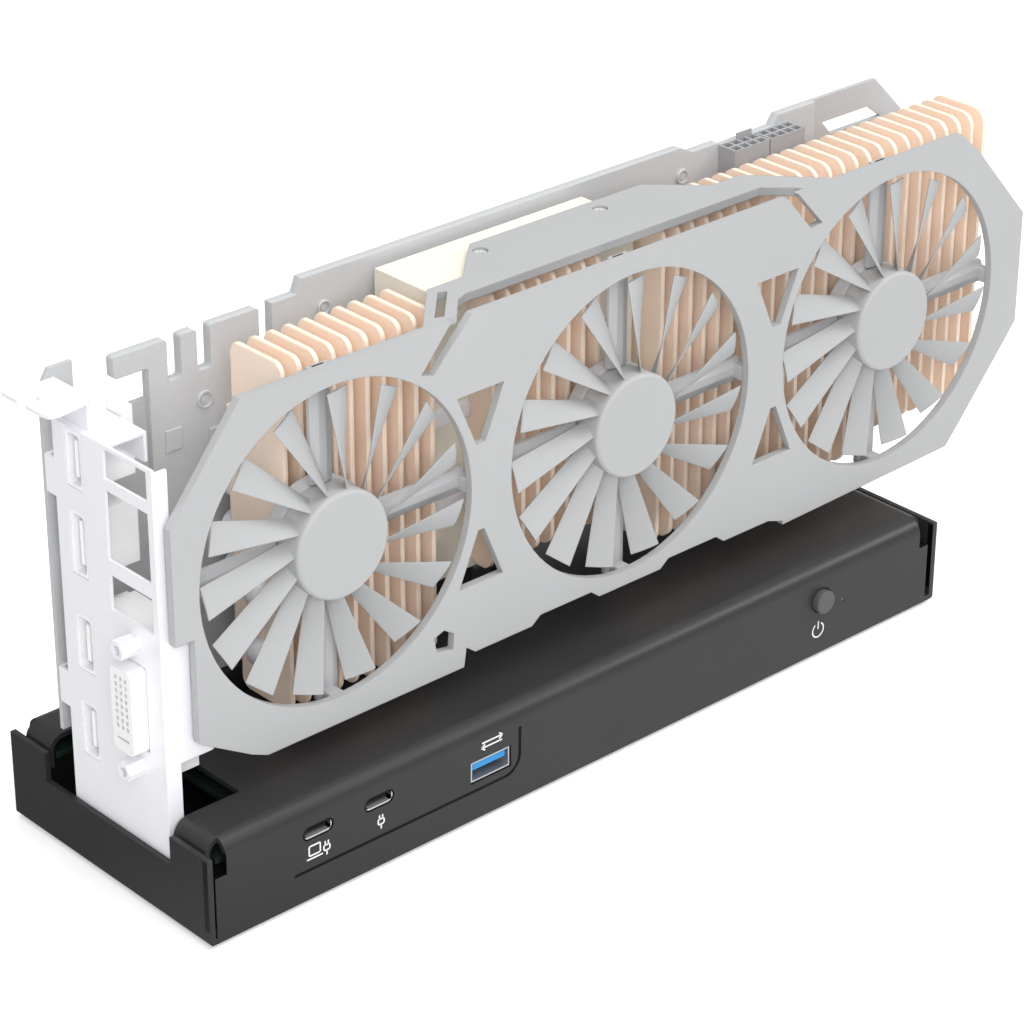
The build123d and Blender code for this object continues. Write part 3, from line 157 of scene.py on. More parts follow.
# Camera and lights, in metres and degrees
CAMERA_PLACE = (-0.54712, -0.58534, 0.46715)
CAMERA_TURN = -42.3248
CAMERA_DIP = 27.3848
CAMERA_ROLL = 0.1292
CAMERA_LENS = 118.73
FLOOR_RADII = (0.0, 0.4, 1.2, 6.0)


# Colours and nodes

def linear(hex_text):
    """Linear red, green, blue and alpha of an sRGB colour written as six hex digits."""
    values = [int(hex_text[k:k + 2], 16) / 255 for k in (0, 2, 4)]
    return [v / 12.92 if v <= 0.04045 else ((v + 0.055) / 1.055) ** 2.4 for v in values] + [1.0]


def add(tree, kind, inputs=None, **settings):
    """Adds a node, sets its settings, and sets or links its inputs, keyed by socket name or number."""
    node = tree.nodes.new(kind)
    for key, value in settings.items():
        setattr(node, key, value)
    for key, value in (inputs or {}).items():
        socket = node.inputs[key]
        if isinstance(value, bpy.types.NodeSocket):
            tree.links.new(value, socket)
        else:
            socket.default_value = value
    return node


def new_material(name):
    """Empty node material with its output, and its Object coordinates in metres."""
    material = bpy.data.materials.new(name)
    material.use_nodes = True
    tree = material.node_tree
    tree.nodes.clear()
    output = add(tree, "ShaderNodeOutputMaterial")
    place = add(tree, "ShaderNodeTexCoord").outputs["Object"]
    return material, tree, output, place


def two_tones(tree, factor, dark, light):
    """Colour that runs from dark to light with the factor."""
    mix = add(tree, "ShaderNodeMix", {0: factor, 6: linear(dark), 7: linear(light)}, data_type="RGBA")
    return mix.outputs[2]


def soft_edges(tree, radius_mm, relief):
    """Normal of a surface whose sharp edges are eased by a small radius, with a relief over it.

    The relief is its height socket, its strength and its depth in millimetres."""
    eased = add(tree, "ShaderNodeBevel", {"Radius": radius_mm * MM}, samples=6)
    height, strength, depth_mm = relief
    bump = add(
        tree, "ShaderNodeBump",
        {
            "Height": height, "Strength": strength, "Distance": depth_mm * MM,
            "Normal": eased.outputs["Normal"],
        },
    )
    return bump.outputs["Normal"]


def finish(tree, output, sockets):
    """Closes a material with one surface shader."""
    shader = add(tree, "ShaderNodeBsdfPrincipled", sockets)
    tree.links.new(shader.outputs["BSDF"], output.inputs["Surface"])


def rough_between(tree, factor, low, high):
    """Roughness that runs from low to high with the factor."""
    span = add(tree, "ShaderNodeMapRange", {"Value": factor, "To Min": low, "To Max": high})
    return span.outputs["Result"]


def inside_box(tree, place, low, high):
    """One where the place lies in the box between two corners, else zero."""
    low, high = np.array(low), np.array(high)
    off = add(tree, "ShaderNodeVectorMath", {0: place, 1: tuple((low + high) / 2)}, operation="SUBTRACT")
    size = add(tree, "ShaderNodeVectorMath", {0: off.outputs[0]}, operation="ABSOLUTE")
    half = tuple((high - low) / 2)
    over = add(tree, "ShaderNodeVectorMath", {0: size.outputs[0], 1: half}, operation="SUBTRACT")
    parts = add(tree, "ShaderNodeSeparateXYZ", {0: over.outputs[0]})
    worst = add(tree, "ShaderNodeMath", {0: parts.outputs[0], 1: parts.outputs[1]}, operation="MAXIMUM")
    worst = add(tree, "ShaderNodeMath", {0: worst.outputs[0], 1: parts.outputs[2]}, operation="MAXIMUM")
    return add(tree, "ShaderNodeMath", {0: worst.outputs[0], 1: 0.0}, operation="LESS_THAN").outputs[0]


def shaded_box(tree, colour, place, box, shade):
    """The colour, turned to the shade inside a box."""
    if box is None:
        return colour
    inside = inside_box(tree, place, *box)
    mix = add(tree, "ShaderNodeMix", {0: inside, 6: colour, 7: linear(shade)}, data_type="RGBA")
    return mix.outputs[2]


# Materials

def powder_coated_steel(name, dark, light, rough=0.36, painted_shade_box=None):
    """Folded steel with a baked black powder coat: a fine orange-peel skin that spreads the light.

    The peel of the real coat is about 0.3 mm; it is drawn at 0.7 mm so that it shows. Inside the
    box given for painted shade, the colour is painted almost black: shade on the floor of the
    engraved line and round the port edges, where little light reaches."""
    material, tree, output, place = new_material(name)
    peel = add(tree, "ShaderNodeTexNoise", {"Vector": place, "Scale": 1 / (0.7 * MM), "Detail": 2.0})
    haze = add(tree, "ShaderNodeTexNoise", {"Vector": place, "Scale": 1 / (22 * MM), "Detail": 3.0})
    colour = two_tones(tree, haze.outputs["Fac"], dark, light)
    finish(tree, output, {
        # 060606 is painted shade inside the box over the engraved line and the port edges
        "Base Color": shaded_box(tree, colour, place, painted_shade_box, "060606"),
        "Roughness": rough_between(tree, haze.outputs["Fac"], rough - 0.03, rough + 0.05),
        "Normal": soft_edges(tree, 0.35, (peel.outputs["Fac"], 0.30, 0.03)),
        "Specular IOR Level": 0.35,
        "IOR": 1.5,
    })
    return material


def moulded_plastic(name, dark, light, rough=0.5, grain_mm=0.6, edge_mm=0.35):
    """Injection-moulded plastic: an even colour over the fine spark-eroded grain of its mould."""
    material, tree, output, place = new_material(name)
    grain = add(tree, "ShaderNodeTexNoise", {"Vector": place, "Scale": 1 / (grain_mm * MM), "Detail": 2.0})
    drift = add(tree, "ShaderNodeTexNoise", {"Vector": place, "Scale": 1 / (35 * MM), "Detail": 2.0})
    finish(tree, output, {
        "Base Color": two_tones(tree, drift.outputs["Fac"], dark, light),
        "Roughness": rough_between(tree, grain.outputs["Fac"], rough - 0.04, rough + 0.06),
        "Normal": soft_edges(tree, edge_mm, (grain.outputs["Fac"], 0.15, 0.02)),
        "IOR": 1.5,
    })
    return material


def drawn_metal(
        name, dark, light, rough, metallic, along="Z", line_mm=0.5, edge_mm=0.3, painted_shade_box=None, shade="1A1A1C"):
    """Sheet or bar metal with fine lines along the way it was rolled, drawn or milled.

    Where a box is given for painted shade, the metal takes the shade colour inside it instead."""
    material, tree, output, place = new_material(name)
    fine = 1 / (line_mm * MM)
    scale = [fine, fine, fine]
    scale["XYZ".index(along)] = fine / 40
    stretched = add(tree, "ShaderNodeMapping", {"Vector": place, "Scale": scale})
    lines = add(
        tree, "ShaderNodeTexNoise", {"Vector": stretched.outputs["Vector"], "Scale": 1.0, "Detail": 2.0})
    colour = two_tones(tree, lines.outputs["Fac"], dark, light)
    finish(tree, output, {
        # inside the given box the colour is painted shade
        "Base Color": shaded_box(tree, colour, place, painted_shade_box, shade),
        "Metallic": metallic,
        "Roughness": rough_between(tree, lines.outputs["Fac"], rough - 0.05, rough + 0.08),
        "Normal": soft_edges(tree, edge_mm, (lines.outputs["Fac"], 0.12, 0.015)),
    })
    return material


def solder_mask(name, dark, light, rough=0.38):
    """Glass-fibre board under solder mask: copper tracks stand up faintly through the lacquer."""
    material, tree, output, place = new_material(name)
    cells = add(
        tree, "ShaderNodeTexVoronoi", {"Vector": place, "Scale": 1 / (3.4 * MM), "Randomness": 0.8},
        feature="F1", distance="MANHATTAN",
    )
    weave = add(tree, "ShaderNodeTexNoise", {"Vector": place, "Scale": 1 / (1.1 * MM), "Detail": 2.0})
    finish(tree, output, {
        "Base Color": two_tones(tree, weave.outputs["Fac"], dark, light),
        "Roughness": rough,
        "Normal": soft_edges(tree, 0.3, (cells.outputs["Distance"], 0.12, 0.02)),
        "IOR": 1.52,
    })
    return material


def rubber(name, dark, light):
    """Moulded nitrile rubber: dull, with a fine dusty grain."""
    material, tree, output, place = new_material(name)
    dust = add(tree, "ShaderNodeTexNoise", {"Vector": place, "Scale": 1 / (0.5 * MM), "Detail": 4.0})
    finish(tree, output, {
        "Base Color": two_tones(tree, dust.outputs["Fac"], dark, light),
        "Roughness": 0.85,
        "Normal": soft_edges(tree, 0.2, (dust.outputs["Fac"], 0.4, 0.03)),
        "IOR": 1.52,
    })
    return material


def clear_pipe(name, tint):
    """Moulded acrylic rod: lets light through, with a frosted end."""
    material, tree, output, place = new_material(name)
    frost = add(tree, "ShaderNodeTexNoise", {"Vector": place, "Scale": 1 / (0.3 * MM), "Detail": 2.0})
    finish(tree, output, {
        "Base Color": linear(tint),
        "Roughness": rough_between(tree, frost.outputs["Fac"], 0.2, 0.4),
        "Transmission Weight": 0.8,
        "IOR": 1.49,
    })
    return material


def printed_ink(name, colour):
    """Pad-printed ink: matt, with edges that thin out a little."""
    material, tree, output, place = new_material(name)
    cover = add(tree, "ShaderNodeTexNoise", {"Vector": place, "Scale": 1 / (0.4 * MM), "Detail": 2.0})
    finish(tree, output, {
        "Base Color": two_tones(tree, cover.outputs["Fac"], "D9DADC", colour),
        "Roughness": 0.6,
        "IOR": 1.5,
    })
    return material


# Surfaces

def mesh_piece(name, sheets, material, body=ROOT):
    """One object from several grids of points; sheets holds (points, closed along u, closed along v).

    Each grid gives a quad between points (i, j), (i+1, j), (i+1, j+1) and (i, j+1), where i and j
    wrap round if the grid is closed that way. Doubles are merged, so poles and seams close."""
    points = []
    faces = []
    start = 0
    for grid, close_u, close_v in sheets:
        nu, nv = grid.shape[:2]
        i = np.arange(nu if close_u else nu - 1)[:, None]
        j = np.arange(nv if close_v else nv - 1)[None, :]
        i1 = (i + 1) % nu
        j1 = (j + 1) % nv
        quads = np.stack([i * nv + j, i1 * nv + j, i1 * nv + j1, i * nv + j1], axis=-1)
        faces.append(quads.reshape(-1, 4) + start)
        points.append(grid.reshape(-1, 3))
        start += nu * nv
    mesh = bpy.data.meshes.new(name)
    mesh.from_pydata(np.concatenate(points).tolist(), [], np.concatenate(faces).tolist())
    shell = bmesh.new()
    shell.from_mesh(mesh)
    bmesh.ops.remove_doubles(shell, verts=shell.verts, dist=0.0000005)
    bmesh.ops.recalc_face_normals(shell, faces=shell.faces)
    shell.to_mesh(mesh)
    shell.free()
    mesh.materials.append(material)
    obj = bpy.data.objects.new(name, mesh)
    bpy.context.scene.collection.objects.link(obj)
    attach(obj, body)
    return obj


def soft_block(low, high, radius, steps=2):
    """Box with rounded edges.

    Point at angles (a, b) = middle + (half size - r) * s + r * d, where d is the unit direction
    (cos b cos a, cos b sin a, sin b) and s the signs of the octant that a and b lie in."""
    low = np.array(low, float)
    high = np.array(high, float)
    centre = (low + high) / 2
    core = (high - low) / 2 - radius
    quarter = np.linspace(0, pi / 2, steps + 1)
    a = np.concatenate([quarter + k * pi / 2 for k in range(4)])
    a_sign_x = np.repeat([1, -1, -1, 1], steps + 1)
    a_sign_y = np.repeat([1, 1, -1, -1], steps + 1)
    b = np.concatenate([quarter - pi / 2, quarter])
    b_sign = np.repeat([-1, 1], steps + 1)
    ca, cb = np.meshgrid(a, b, indexing="ij")
    x = centre[0] + core[0] * a_sign_x[:, None] + radius * np.cos(cb) * np.cos(ca)
    y = centre[1] + core[1] * a_sign_y[:, None] + radius * np.cos(cb) * np.sin(ca)
    z = centre[2] + core[2] * np.ones_like(ca) * b_sign[None, :] + radius * np.sin(cb)
    grid = np.stack([x, y, z], axis=-1)
    top = np.repeat(grid[:, -1:].mean(axis=0, keepdims=True), len(a), axis=0)
    bottom = np.repeat(grid[:, :1].mean(axis=0, keepdims=True), len(a), axis=0)
    return np.concatenate([bottom, grid, top], axis=1), True, False


def basis(out):
    """Two directions across the given one, and that one, as rows."""
    out = np.array(out, float)
    side = np.array([0.0, 0.0, 1.0]) if abs(out[2]) < 0.5 else np.array([1.0, 0.0, 0.0])
    across = np.cross(side, out)
    return np.stack([across, np.cross(out, across), out])


def turned(profile, centre, out, segments=48, lift=None):
    """Surface of revolution: point = centre + r cos t * U + r sin t * V + (h + lift) * W.

    profile holds (r, h) pairs from the outer end to the inner, W points out, and lift(x, y) is
    added to the height, which presses a recess into a head."""
    profile = np.array(profile, float)
    t = np.linspace(0, 2 * pi, segments, endpoint=False)
    x = profile[:, :1] * np.cos(t)[None, :]
    y = profile[:, :1] * np.sin(t)[None, :]
    h = np.repeat(profile[:, 1:], segments, axis=1)
    if lift is not None:
        h = h + lift(x, y) * (h > profile[0, 1] * 0.5)
    u, v, w = basis(out)
    grid = np.array(centre) + x[..., None] * u + y[..., None] * v + h[..., None] * w
    return grid, False, True


def cross_recess(width, length, depth):
    """Lift of a cross recess: -depth inside either bar, easing to nothing at its sloped walls."""
    def lift(x, y):
        slope = width * 0.35

        def bar(a, b):
            across = np.clip((width / 2 - np.abs(a)) / slope + 0.5, 0, 1)
            ends = np.clip((length / 2 - np.abs(b)) / (length * 0.22), 0, 1)
            return across * ends

        return -depth * np.maximum(bar(x, y), bar(y, x))
    return lift


def screw(centre, out, head_r, head_h, shank_r, length):
    """Pan-head screw: a domed head with a cross recess, and its shank behind."""
    rings = np.linspace(0, 1, 22)[:-1]
    dome = [(head_r * q, head_h * (1 - 0.42 * q ** 4)) for q in rings]
    edge = [(head_r * 0.985, head_h * 0.5), (head_r, head_h * 0.38), (head_r, 0.0)]
    rest = [(shank_r, 0.0), (shank_r, -length), (0.0, -length)]
    recess = cross_recess(head_r * 0.3, head_r * 1.25, head_h * 0.75)
    return turned(dome + edge + rest, centre, out, 64, recess)


def carried(section, path, across, through):
    """Closed bar: a section carried along a path, with both ends filled.

    Point (i, k) = path(i) + section(k, 0) * across + section(k, 1) * through; the end rows draw in
    to the middle of the section."""
    section = np.array(section, float)
    across = np.array(across, float)
    through = np.array(through, float)
    ring = section[:, :1] * across[None, :] + section[:, 1:] * through[None, :]
    grid = np.array(path, float)[:, None, :] + ring[None, :, :]
    first = np.repeat(grid[:1].mean(axis=1, keepdims=True), len(section), axis=1)
    last = np.repeat(grid[-1:].mean(axis=1, keepdims=True), len(section), axis=1)
    return np.concatenate([first, grid, last], axis=0), False, True


def plate(outline, x0, x1, edge):
    """Closed plate across X with eased edges.

    Row i = middle + (outline - middle) * scale(i), at x(i): the two outer rows are drawn in by the
    edge, and the ends close on the outline's middle. The outline holds (y, z) pairs."""
    outline = np.array(outline, float)
    centre = outline.mean(axis=0)
    reach = np.abs(outline - centre).max()
    small = 1 - edge / reach
    scales = np.array([0, small, 1, 1, small, 0])[:, None, None]
    xs = np.array([x0, x0, x0 + edge, x1 - edge, x1, x1])
    flat = centre + (outline - centre)[None] * scales
    x = np.repeat(xs[:, None, None], len(outline), axis=1)
    return np.concatenate([x, flat], axis=2), False, True


def spun(grid, centre, degrees):
    """The grid turned clockwise as seen from the front, about a line along Y through the centre.

    x' = x cos a + z sin a and z' = z cos a - x sin a, then moved to the centre."""
    a = radians(degrees)
    x, y, z = grid[..., 0], grid[..., 1], grid[..., 2]
    turned_grid = np.stack([x * np.cos(a) + z * np.sin(a), y, z * np.cos(a) - x * np.sin(a)], axis=-1)
    return turned_grid + np.array([centre[0], 0.0, centre[1]])


def blade(lead_tip, trail_tip, lead_root, trail_root, thick, camber):
    """Straight paddle blade of a fan, round the Y axis, as one closed sheet.

    Its middle surface is ruled between four corners, given as (radius, clockwise degrees, depth):
    M(s, t) = (1 - s) * root(t) + s * tip(t), bowed forward by camber * 4 t (1 - t). The section runs
    along the front of M and back along its rear, half the thickness away, and thins to its edges."""
    def corner(radius, degrees, depth):
        a = radians(degrees)
        return np.array([radius * np.sin(a), depth, radius * np.cos(a)])

    s = np.linspace(0, 1, 9)[:, None, None]
    t = (1 - np.cos(np.linspace(0, pi, 11))) / 2
    lead = (1 - s) * corner(*lead_root) + s * corner(*lead_tip)
    trail = (1 - s) * corner(*trail_root) + s * corner(*trail_tip)
    loop = np.concatenate([t, t[-2:0:-1]])
    side = np.concatenate([-np.ones(len(t)), np.ones(len(t) - 2)])
    bow = -camber * 4 * loop * (1 - loop)
    half = thick / 2 * (0.5 + 0.5 * np.sqrt(4 * loop * (1 - loop)))
    grid = lead * (1 - loop)[None, :, None] + trail * loop[None, :, None]
    grid[..., 1] += (bow + side * half)[None, :]
    first = np.repeat(grid[:1].mean(axis=1, keepdims=True), len(loop), axis=1)
    last = np.repeat(grid[-1:].mean(axis=1, keepdims=True), len(loop), axis=1)
    return np.concatenate([first, grid, last], axis=0)


def stroke(path, width, thick, origin, closed=False):
    """Flat printed line on a front face: a rectangle of width by thickness carried along a path.

    Point at (s, k) = origin + path(s) + normal(s) * (+-width / 2), pushed out by the thickness;
    the normal is the tangent turned a quarter."""
    path = np.array(path, float)
    if closed:
        tangent = np.roll(path, -1, axis=0) - np.roll(path, 1, axis=0)
    else:
        tangent = np.gradient(path, axis=0)
    tangent /= np.linalg.norm(tangent, axis=1, keepdims=True)
    normal = np.stack([-tangent[:, 1], tangent[:, 0]], axis=1) * width / 2
    left = path + normal
    right = path - normal
    rows = []
    for edge, y in ((left, -thick), (right, -thick), (right, 0.0), (left, 0.0)):
        rows.append(np.stack([edge[:, 0], np.full(len(edge), y), edge[:, 1]], axis=1))
    grid = np.stack(rows, axis=1) + np.array(origin)
    if not closed:
        first = np.repeat(grid[:1].mean(axis=1, keepdims=True), 4, axis=1)
        last = np.repeat(grid[-1:].mean(axis=1, keepdims=True), 4, axis=1)
        grid = np.concatenate([first, grid, last], axis=0)
    return grid, closed, True


def arc(cx, cz, radius, a0, a1, count=40):
    """Points on a circle between two angles in degrees."""
    t = np.radians(np.linspace(a0, a1, count))
    return np.stack([cx + radius * np.cos(t), cz + radius * np.sin(t)], axis=1)


def rounded_outline(cx, cz, width, height, radius, count=6):
    """Closed outline of a rectangle with round corners."""
    parts = []
    for sx, sz, a in ((1, 1, 0), (-1, 1, 90), (-1, -1, 180), (1, -1, 270)):
        x = cx + sx * (width / 2 - radius)
        z = cz + sz * (height / 2 - radius)
        parts.append(arc(x, z, radius, a, a + 90, count))
    return np.concatenate(parts)


def line(x0, z0, x1, z1):
    """Straight path between two points."""
    return np.array([(x0, z0), (x1, z1)], float)


def middle(node):
    """Middle of a node's box."""
    low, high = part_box(node)
    return (low + high) / 2


def material_of(node):
    """The finish that a node of the frame has."""
    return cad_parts[node].material_slots[0].material


# Sizes and colours that a user would change

class DockDressing(bpy.types.PropertyGroup):
    sign_line: bpy.props.FloatProperty(
        name="Sign line", description="Width of the printed lines", default=0.42 * MM, unit="LENGTH")
    sign_thick: bpy.props.FloatProperty(
        name="Ink thickness", description="How far the ink stands out", default=0.03 * MM, unit="LENGTH")
    ink: bpy.props.StringProperty(
        name="Ink colour", description="Colour of the printed signs", default="F4F5F6")
    coat_dark: bpy.props.StringProperty(
        name="Coat, dark", description="Darker tone of the dock's powder coat", default="2B2B2C")
    coat_light: bpy.props.StringProperty(
        name="Coat, light", description="Lighter tone of the dock's powder coat", default="313132")
    card_dark: bpy.props.StringProperty(
        name="Card plastic, dark", description="Darker tone of the card's plastic", default="A9AAAB")
    card_light: bpy.props.StringProperty(
        name="Card plastic, light", description="Lighter tone of the card's plastic", default="AFB0B1")
    fin_dark: bpy.props.StringProperty(
        name="Fins, dark", description="Darker tone of the fins", default="FFE5CF")
    fin_light: bpy.props.StringProperty(
        name="Fins, light", description="Lighter tone of the fins", default="FFECDB")
    blade_thick: bpy.props.FloatProperty(
        name="Blade thickness", description="Thickness of a fan blade at its middle", default=0.6 * MM,
        unit="LENGTH")
    blade_camber: bpy.props.FloatProperty(
        name="Blade camber", description="How far a blade bows forward", default=0.2 * MM, unit="LENGTH")
    contact_gap: bpy.props.FloatProperty(
        name="Contact pitch", description="Distance between contacts of an oval port", default=0.5 * MM,
        unit="LENGTH")
    key_power: bpy.props.FloatProperty(
        name="Key light", description="Power of the softbox in front", default=10.5, unit="POWER")
    side_power: bpy.props.FloatProperty(
        name="Side light", description="Power of the softbox on the far side", default=6.5, unit="POWER")
    top_power: bpy.props.FloatProperty(
        name="Top light", description="Power of the softbox overhead", default=16.0, unit="POWER")
    sky: bpy.props.FloatProperty(
        name="Ambient", description="Strength of the even light from all round", default=0.5, min=0.0)


def settings():
    """The scene's values."""
    return bpy.context.scene.dock_dressing


# Operators

class DOCK_OT_finishes(bpy.types.Operator):
    """Gives every carried node of the frame its real material"""
    bl_idname = "dock.finishes"
    bl_label = "Finishes"

    def execute(self, context):
        s = settings()
        # box over the front's engraved line and port edges, where the coat is painted black as shade
        skin = (np.array(PAINTED_SHADE_LOW) * MM, np.array(PAINTED_SHADE_HIGH) * MM)
        coat = powder_coated_steel("powder_coated_steel", s.coat_dark, s.coat_light, painted_shade_box=skin)
        ovals = {}
        for k in (1, 2):
            low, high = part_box("oval_port_%d" % k)
            # painted shade: the shell is painted dark above its lower lip and left of its right-hand rim,
            # where the port's mouth lies in shade
            dark = (
                (low.x - MM, low.y - MM, low.z + SILL_HEIGHT * MM),
                (high.x - RIM_WIDTH * MM, high.y, high.z + MM),
            )
            metal = drawn_metal(
                "stamped_steel_oval_shell_%d" % k, "D6D7DA", "E4E5E8", 0.3, 0.7, "Y", 0.5, 0.15, painted_shade_box=dark)
            ovals[metal] = ["oval_port_%d" % k]
        inner = powder_coated_steel("powder_coated_steel_inner", "1E1E1F", "232324", 0.5)
        card = moulded_plastic("moulded_abs_pale_grey", s.card_dark, s.card_light, 0.48)
        rotor = moulded_plastic("moulded_pbt_pale_grey", "A9AAAB", "AFB0B1", 0.5)
        struts = moulded_plastic("moulded_pbt_mid_grey", "B4B5B7", "BBBCBE", 0.55)
        mask = solder_mask("solder_mask_grey", "BFC1C3", "C7C9CB")
        dark_mask = solder_mask("solder_mask_dark_green", "16211C", "1D2A24")
        back = drawn_metal("anodised_aluminium_grey", "BCBEC0", "C5C7C9", 0.42, 0.1, "X")
        fin = drawn_metal("anodised_aluminium_warm", s.fin_dark, s.fin_light, 0.5, 0.0, "Z", 0.8, 0.6)
        block = drawn_metal("milled_aluminium_cream", "E8E3D6", "F0EBDE", 0.5, 0.0, "X", 0.7, 0.5)
        pipe = drawn_metal("nickel_plated_copper_pipe", "E9EAF0", "F3F4F8", 0.35, 0.2, "X", 0.8, 0.3)
        white_steel = drawn_metal("bright_nickel_plated_steel", "EDEDF2", "F3F3F7", 0.38, 0.1, "Z", 0.7, 0.3)
        cage = drawn_metal("tin_plated_steel_cage", "F0F0F2", "FAFAFB", 0.45, 0.0, "X", 0.7, 0.3)
        shell = drawn_metal("stamped_steel_port_shell", "C9CACE", "D9DADD", 0.3, 0.85, "Y", 0.5, 0.15)
        zinc = drawn_metal("zinc_plated_steel", "8F9092", "A5A6A8", 0.35, 0.9, "X", 0.6, 0.2)
        painted = drawn_metal("grey_painted_steel", "BDBEBF", "C6C7C8", 0.5, 0.0, "X", 0.5, 0.2)
        brass = drawn_metal("turned_brass", "C9AE6E", "D8C084", 0.3, 0.95, "Z", 0.5, 0.2)
        white = moulded_plastic("moulded_pbt_white", "E9E9EA", "F1F1F2", 0.42, 0.5, 0.25)
        black = moulded_plastic("moulded_nylon_black", "1B1B1D", "222224", 0.5, 0.5, 0.2)
        grey = moulded_plastic("moulded_nylon_grey", "A0A1A3", "A9AAAC", 0.5, 0.5, 0.2)
        latch = moulded_plastic("moulded_nylon_slate", "3C3D40", "45464A", 0.5, 0.5, 0.25)
        blue = moulded_plastic("moulded_lcp_blue", "1C84C4", "2590D2", 0.38, 0.4, 0.15)
        knob = moulded_plastic("moulded_abs_grey", "4C4C4E", "545456", 0.45, 0.5, 0.3)
        epoxy = moulded_plastic("moulded_epoxy_black", "19191A", "202021", 0.42, 0.4, 0.15)
        finishes = {
            coat: ["top_cover", "base_tray"],
            inner: ["bracket_guide"],
            rubber("moulded_nitrile_rubber", "131313", "1B1B1B"): ["rubber_feet"],
            zinc: ["cover_screws", "board_screws", "bracket_screws", "cooler_screws"],
            painted: ["shroud_screws"],
            brass: ["board_posts"],
            dark_mask: ["main_board"],
            epoxy: ["controller_chip", "button_switch"],
            **ovals,
            shell: ["wide_port"],
            blue: ["wide_port_tongue"],
            knob: ["power_button"],
            clear_pipe("moulded_acrylic_clear", "E8F0F4"): ["light_pipe"],
            black: ["power_inlet", "card_slot"],
            latch: ["slot_latch"],
            mask: ["card_board"],
            back: ["back_plate"],
            white_steel: ["bracket", "connector_posts"],
            cage: ["video_port_%d" % k for k in (1, 2, 3, 4)],
            white: ["pin_connector"],
            fin: ["fins_left", "fins_middle", "fins_right"],
            block: ["heat_block"],
            pipe: ["heat_pipe_%d" % k for k in (1, 2, 3, 4)],
            grey: ["power_socket_1", "power_socket_2", "chip_package"],
            card: ["fan_shroud"],
            struts: ["fan_frame_%d" % k for k in (1, 2, 3)],
            rotor: ["fan_%d" % k for k in (1, 2, 3)],
        }
        done = set()
        for material, names in finishes.items():
            for name in names:
                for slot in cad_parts[name].material_slots:
                    slot.material = material
                done.add(name)
        missing = sorted(set(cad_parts) - done)
        if missing:
            raise RuntimeError("nodes without a finish: " + ", ".join(missing))
        return {"FINISHED"}


class DOCK_OT_signs(bpy.types.Operator):
    """Prints the small generic signs beside the ports and the power button"""
    bl_idname = "dock.signs"
    bl_label = "Signs"

    def execute(self, context):
        s = settings()
        w = s.sign_line
        thick = s.sign_thick
        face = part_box("top_cover")[0].y
        ink = printed_ink("pad_printed_ink", s.ink)

        def at(node, dx, dz):
            centre = middle(node)
            return (centre.x + dx * MM, face + 0.005 * MM, centre.z + dz * MM)

        centre = at("power_button", -0.9, -9.0)
        power = [
            stroke(arc(0, 0, 2.15 * MM, 122, 418, 60), w, thick, centre),
            stroke(line(0, 0.35 * MM, 0, 2.75 * MM), w, thick, centre),
        ]
        mesh_piece("power_sign", power, ink)
        laptop = at("oval_port_1", -1.3, -5.6)
        screen = [
            stroke(rounded_outline(0, 0.5 * MM, 3.5 * MM, 2.7 * MM, 0.35 * MM), w, thick, laptop, True),
            stroke(line(-2.5 * MM, -1.75 * MM, 2.5 * MM, -1.75 * MM), w, thick, laptop),
        ]
        mesh_piece("laptop_sign", screen, ink)
        plugs = []
        for node, dx in (("oval_port_1", 2.5), ("oval_port_2", 0.4)):
            origin = at(node, dx, -6.1)
            plugs.append(stroke(rounded_outline(0, 0, 1.9 * MM, 1.5 * MM, 0.45 * MM), w, thick, origin, True))
            plugs.append(stroke(line(0, -0.8 * MM, 0, -2.1 * MM), w, thick, origin))
            for side in (-0.5, 0.5):
                plugs.append(stroke(line(side * MM, 0.8 * MM, side * MM, 1.9 * MM), w, thick, origin))
        mesh_piece("plug_signs", plugs, ink)
        data = at("wide_port", 0.4, 5.0)
        arrows = []
        for sign, z in ((1, 0.7), (-1, -0.7)):
            arrows.append(stroke(line(-3.4 * MM, z * MM, 3.4 * MM, z * MM), w, thick, data))
            tip = sign * 3.6
            barb = tip - sign * 1.2
            for end in (0.85, -0.85):
                arrows.append(stroke(line(barb * MM, (z + end) * MM, tip * MM, z * MM), w, thick, data))
        mesh_piece("data_sign", arrows, ink)
        return {"FINISHED"}


class DOCK_OT_screws(bpy.types.Operator):
    """Makes the pan-head screws with their cross recesses"""
    bl_idname = "dock.screws"
    bl_label = "Screws"

    def execute(self, context):
        for node, out, across, along, head_h, shank_r in SCREW_ROWS:
            sheets = self.like(node, out, across, along, head_h * MM, shank_r * MM)
            piece = mesh_piece(node + "_turned", sheets, material_of(node))
            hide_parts(node)
        return {"FINISHED"}

    def like(self, node, out, across, along, head_h, shank_r):
        """Screws in rows across and along the node's box, as large as the box says."""
        low, high = (np.array(v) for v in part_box(node))
        axis = int(np.argmax(np.abs(out)))
        first, second = [k for k in range(3) if k != axis]
        size = high - low
        if along == 1:
            radius = size[second] / 2
        elif across == 1:
            radius = size[first] / 2
        else:
            radius = HEAD_RADII[node] * MM
        face = high[axis] if out[axis] > 0 else low[axis]
        length = size[axis] - head_h
        sheets = []
        for a in np.linspace(low[first] + radius, high[first] - radius, across):
            for b in np.linspace(low[second] + radius, high[second] - radius, along):
                centre = np.zeros(3)
                centre[first], centre[second] = a, b
                centre[axis] = face - np.sign(out[axis]) * head_h
                sheets.append(screw(centre, out, radius, head_h, shank_r, length))
        return sheets


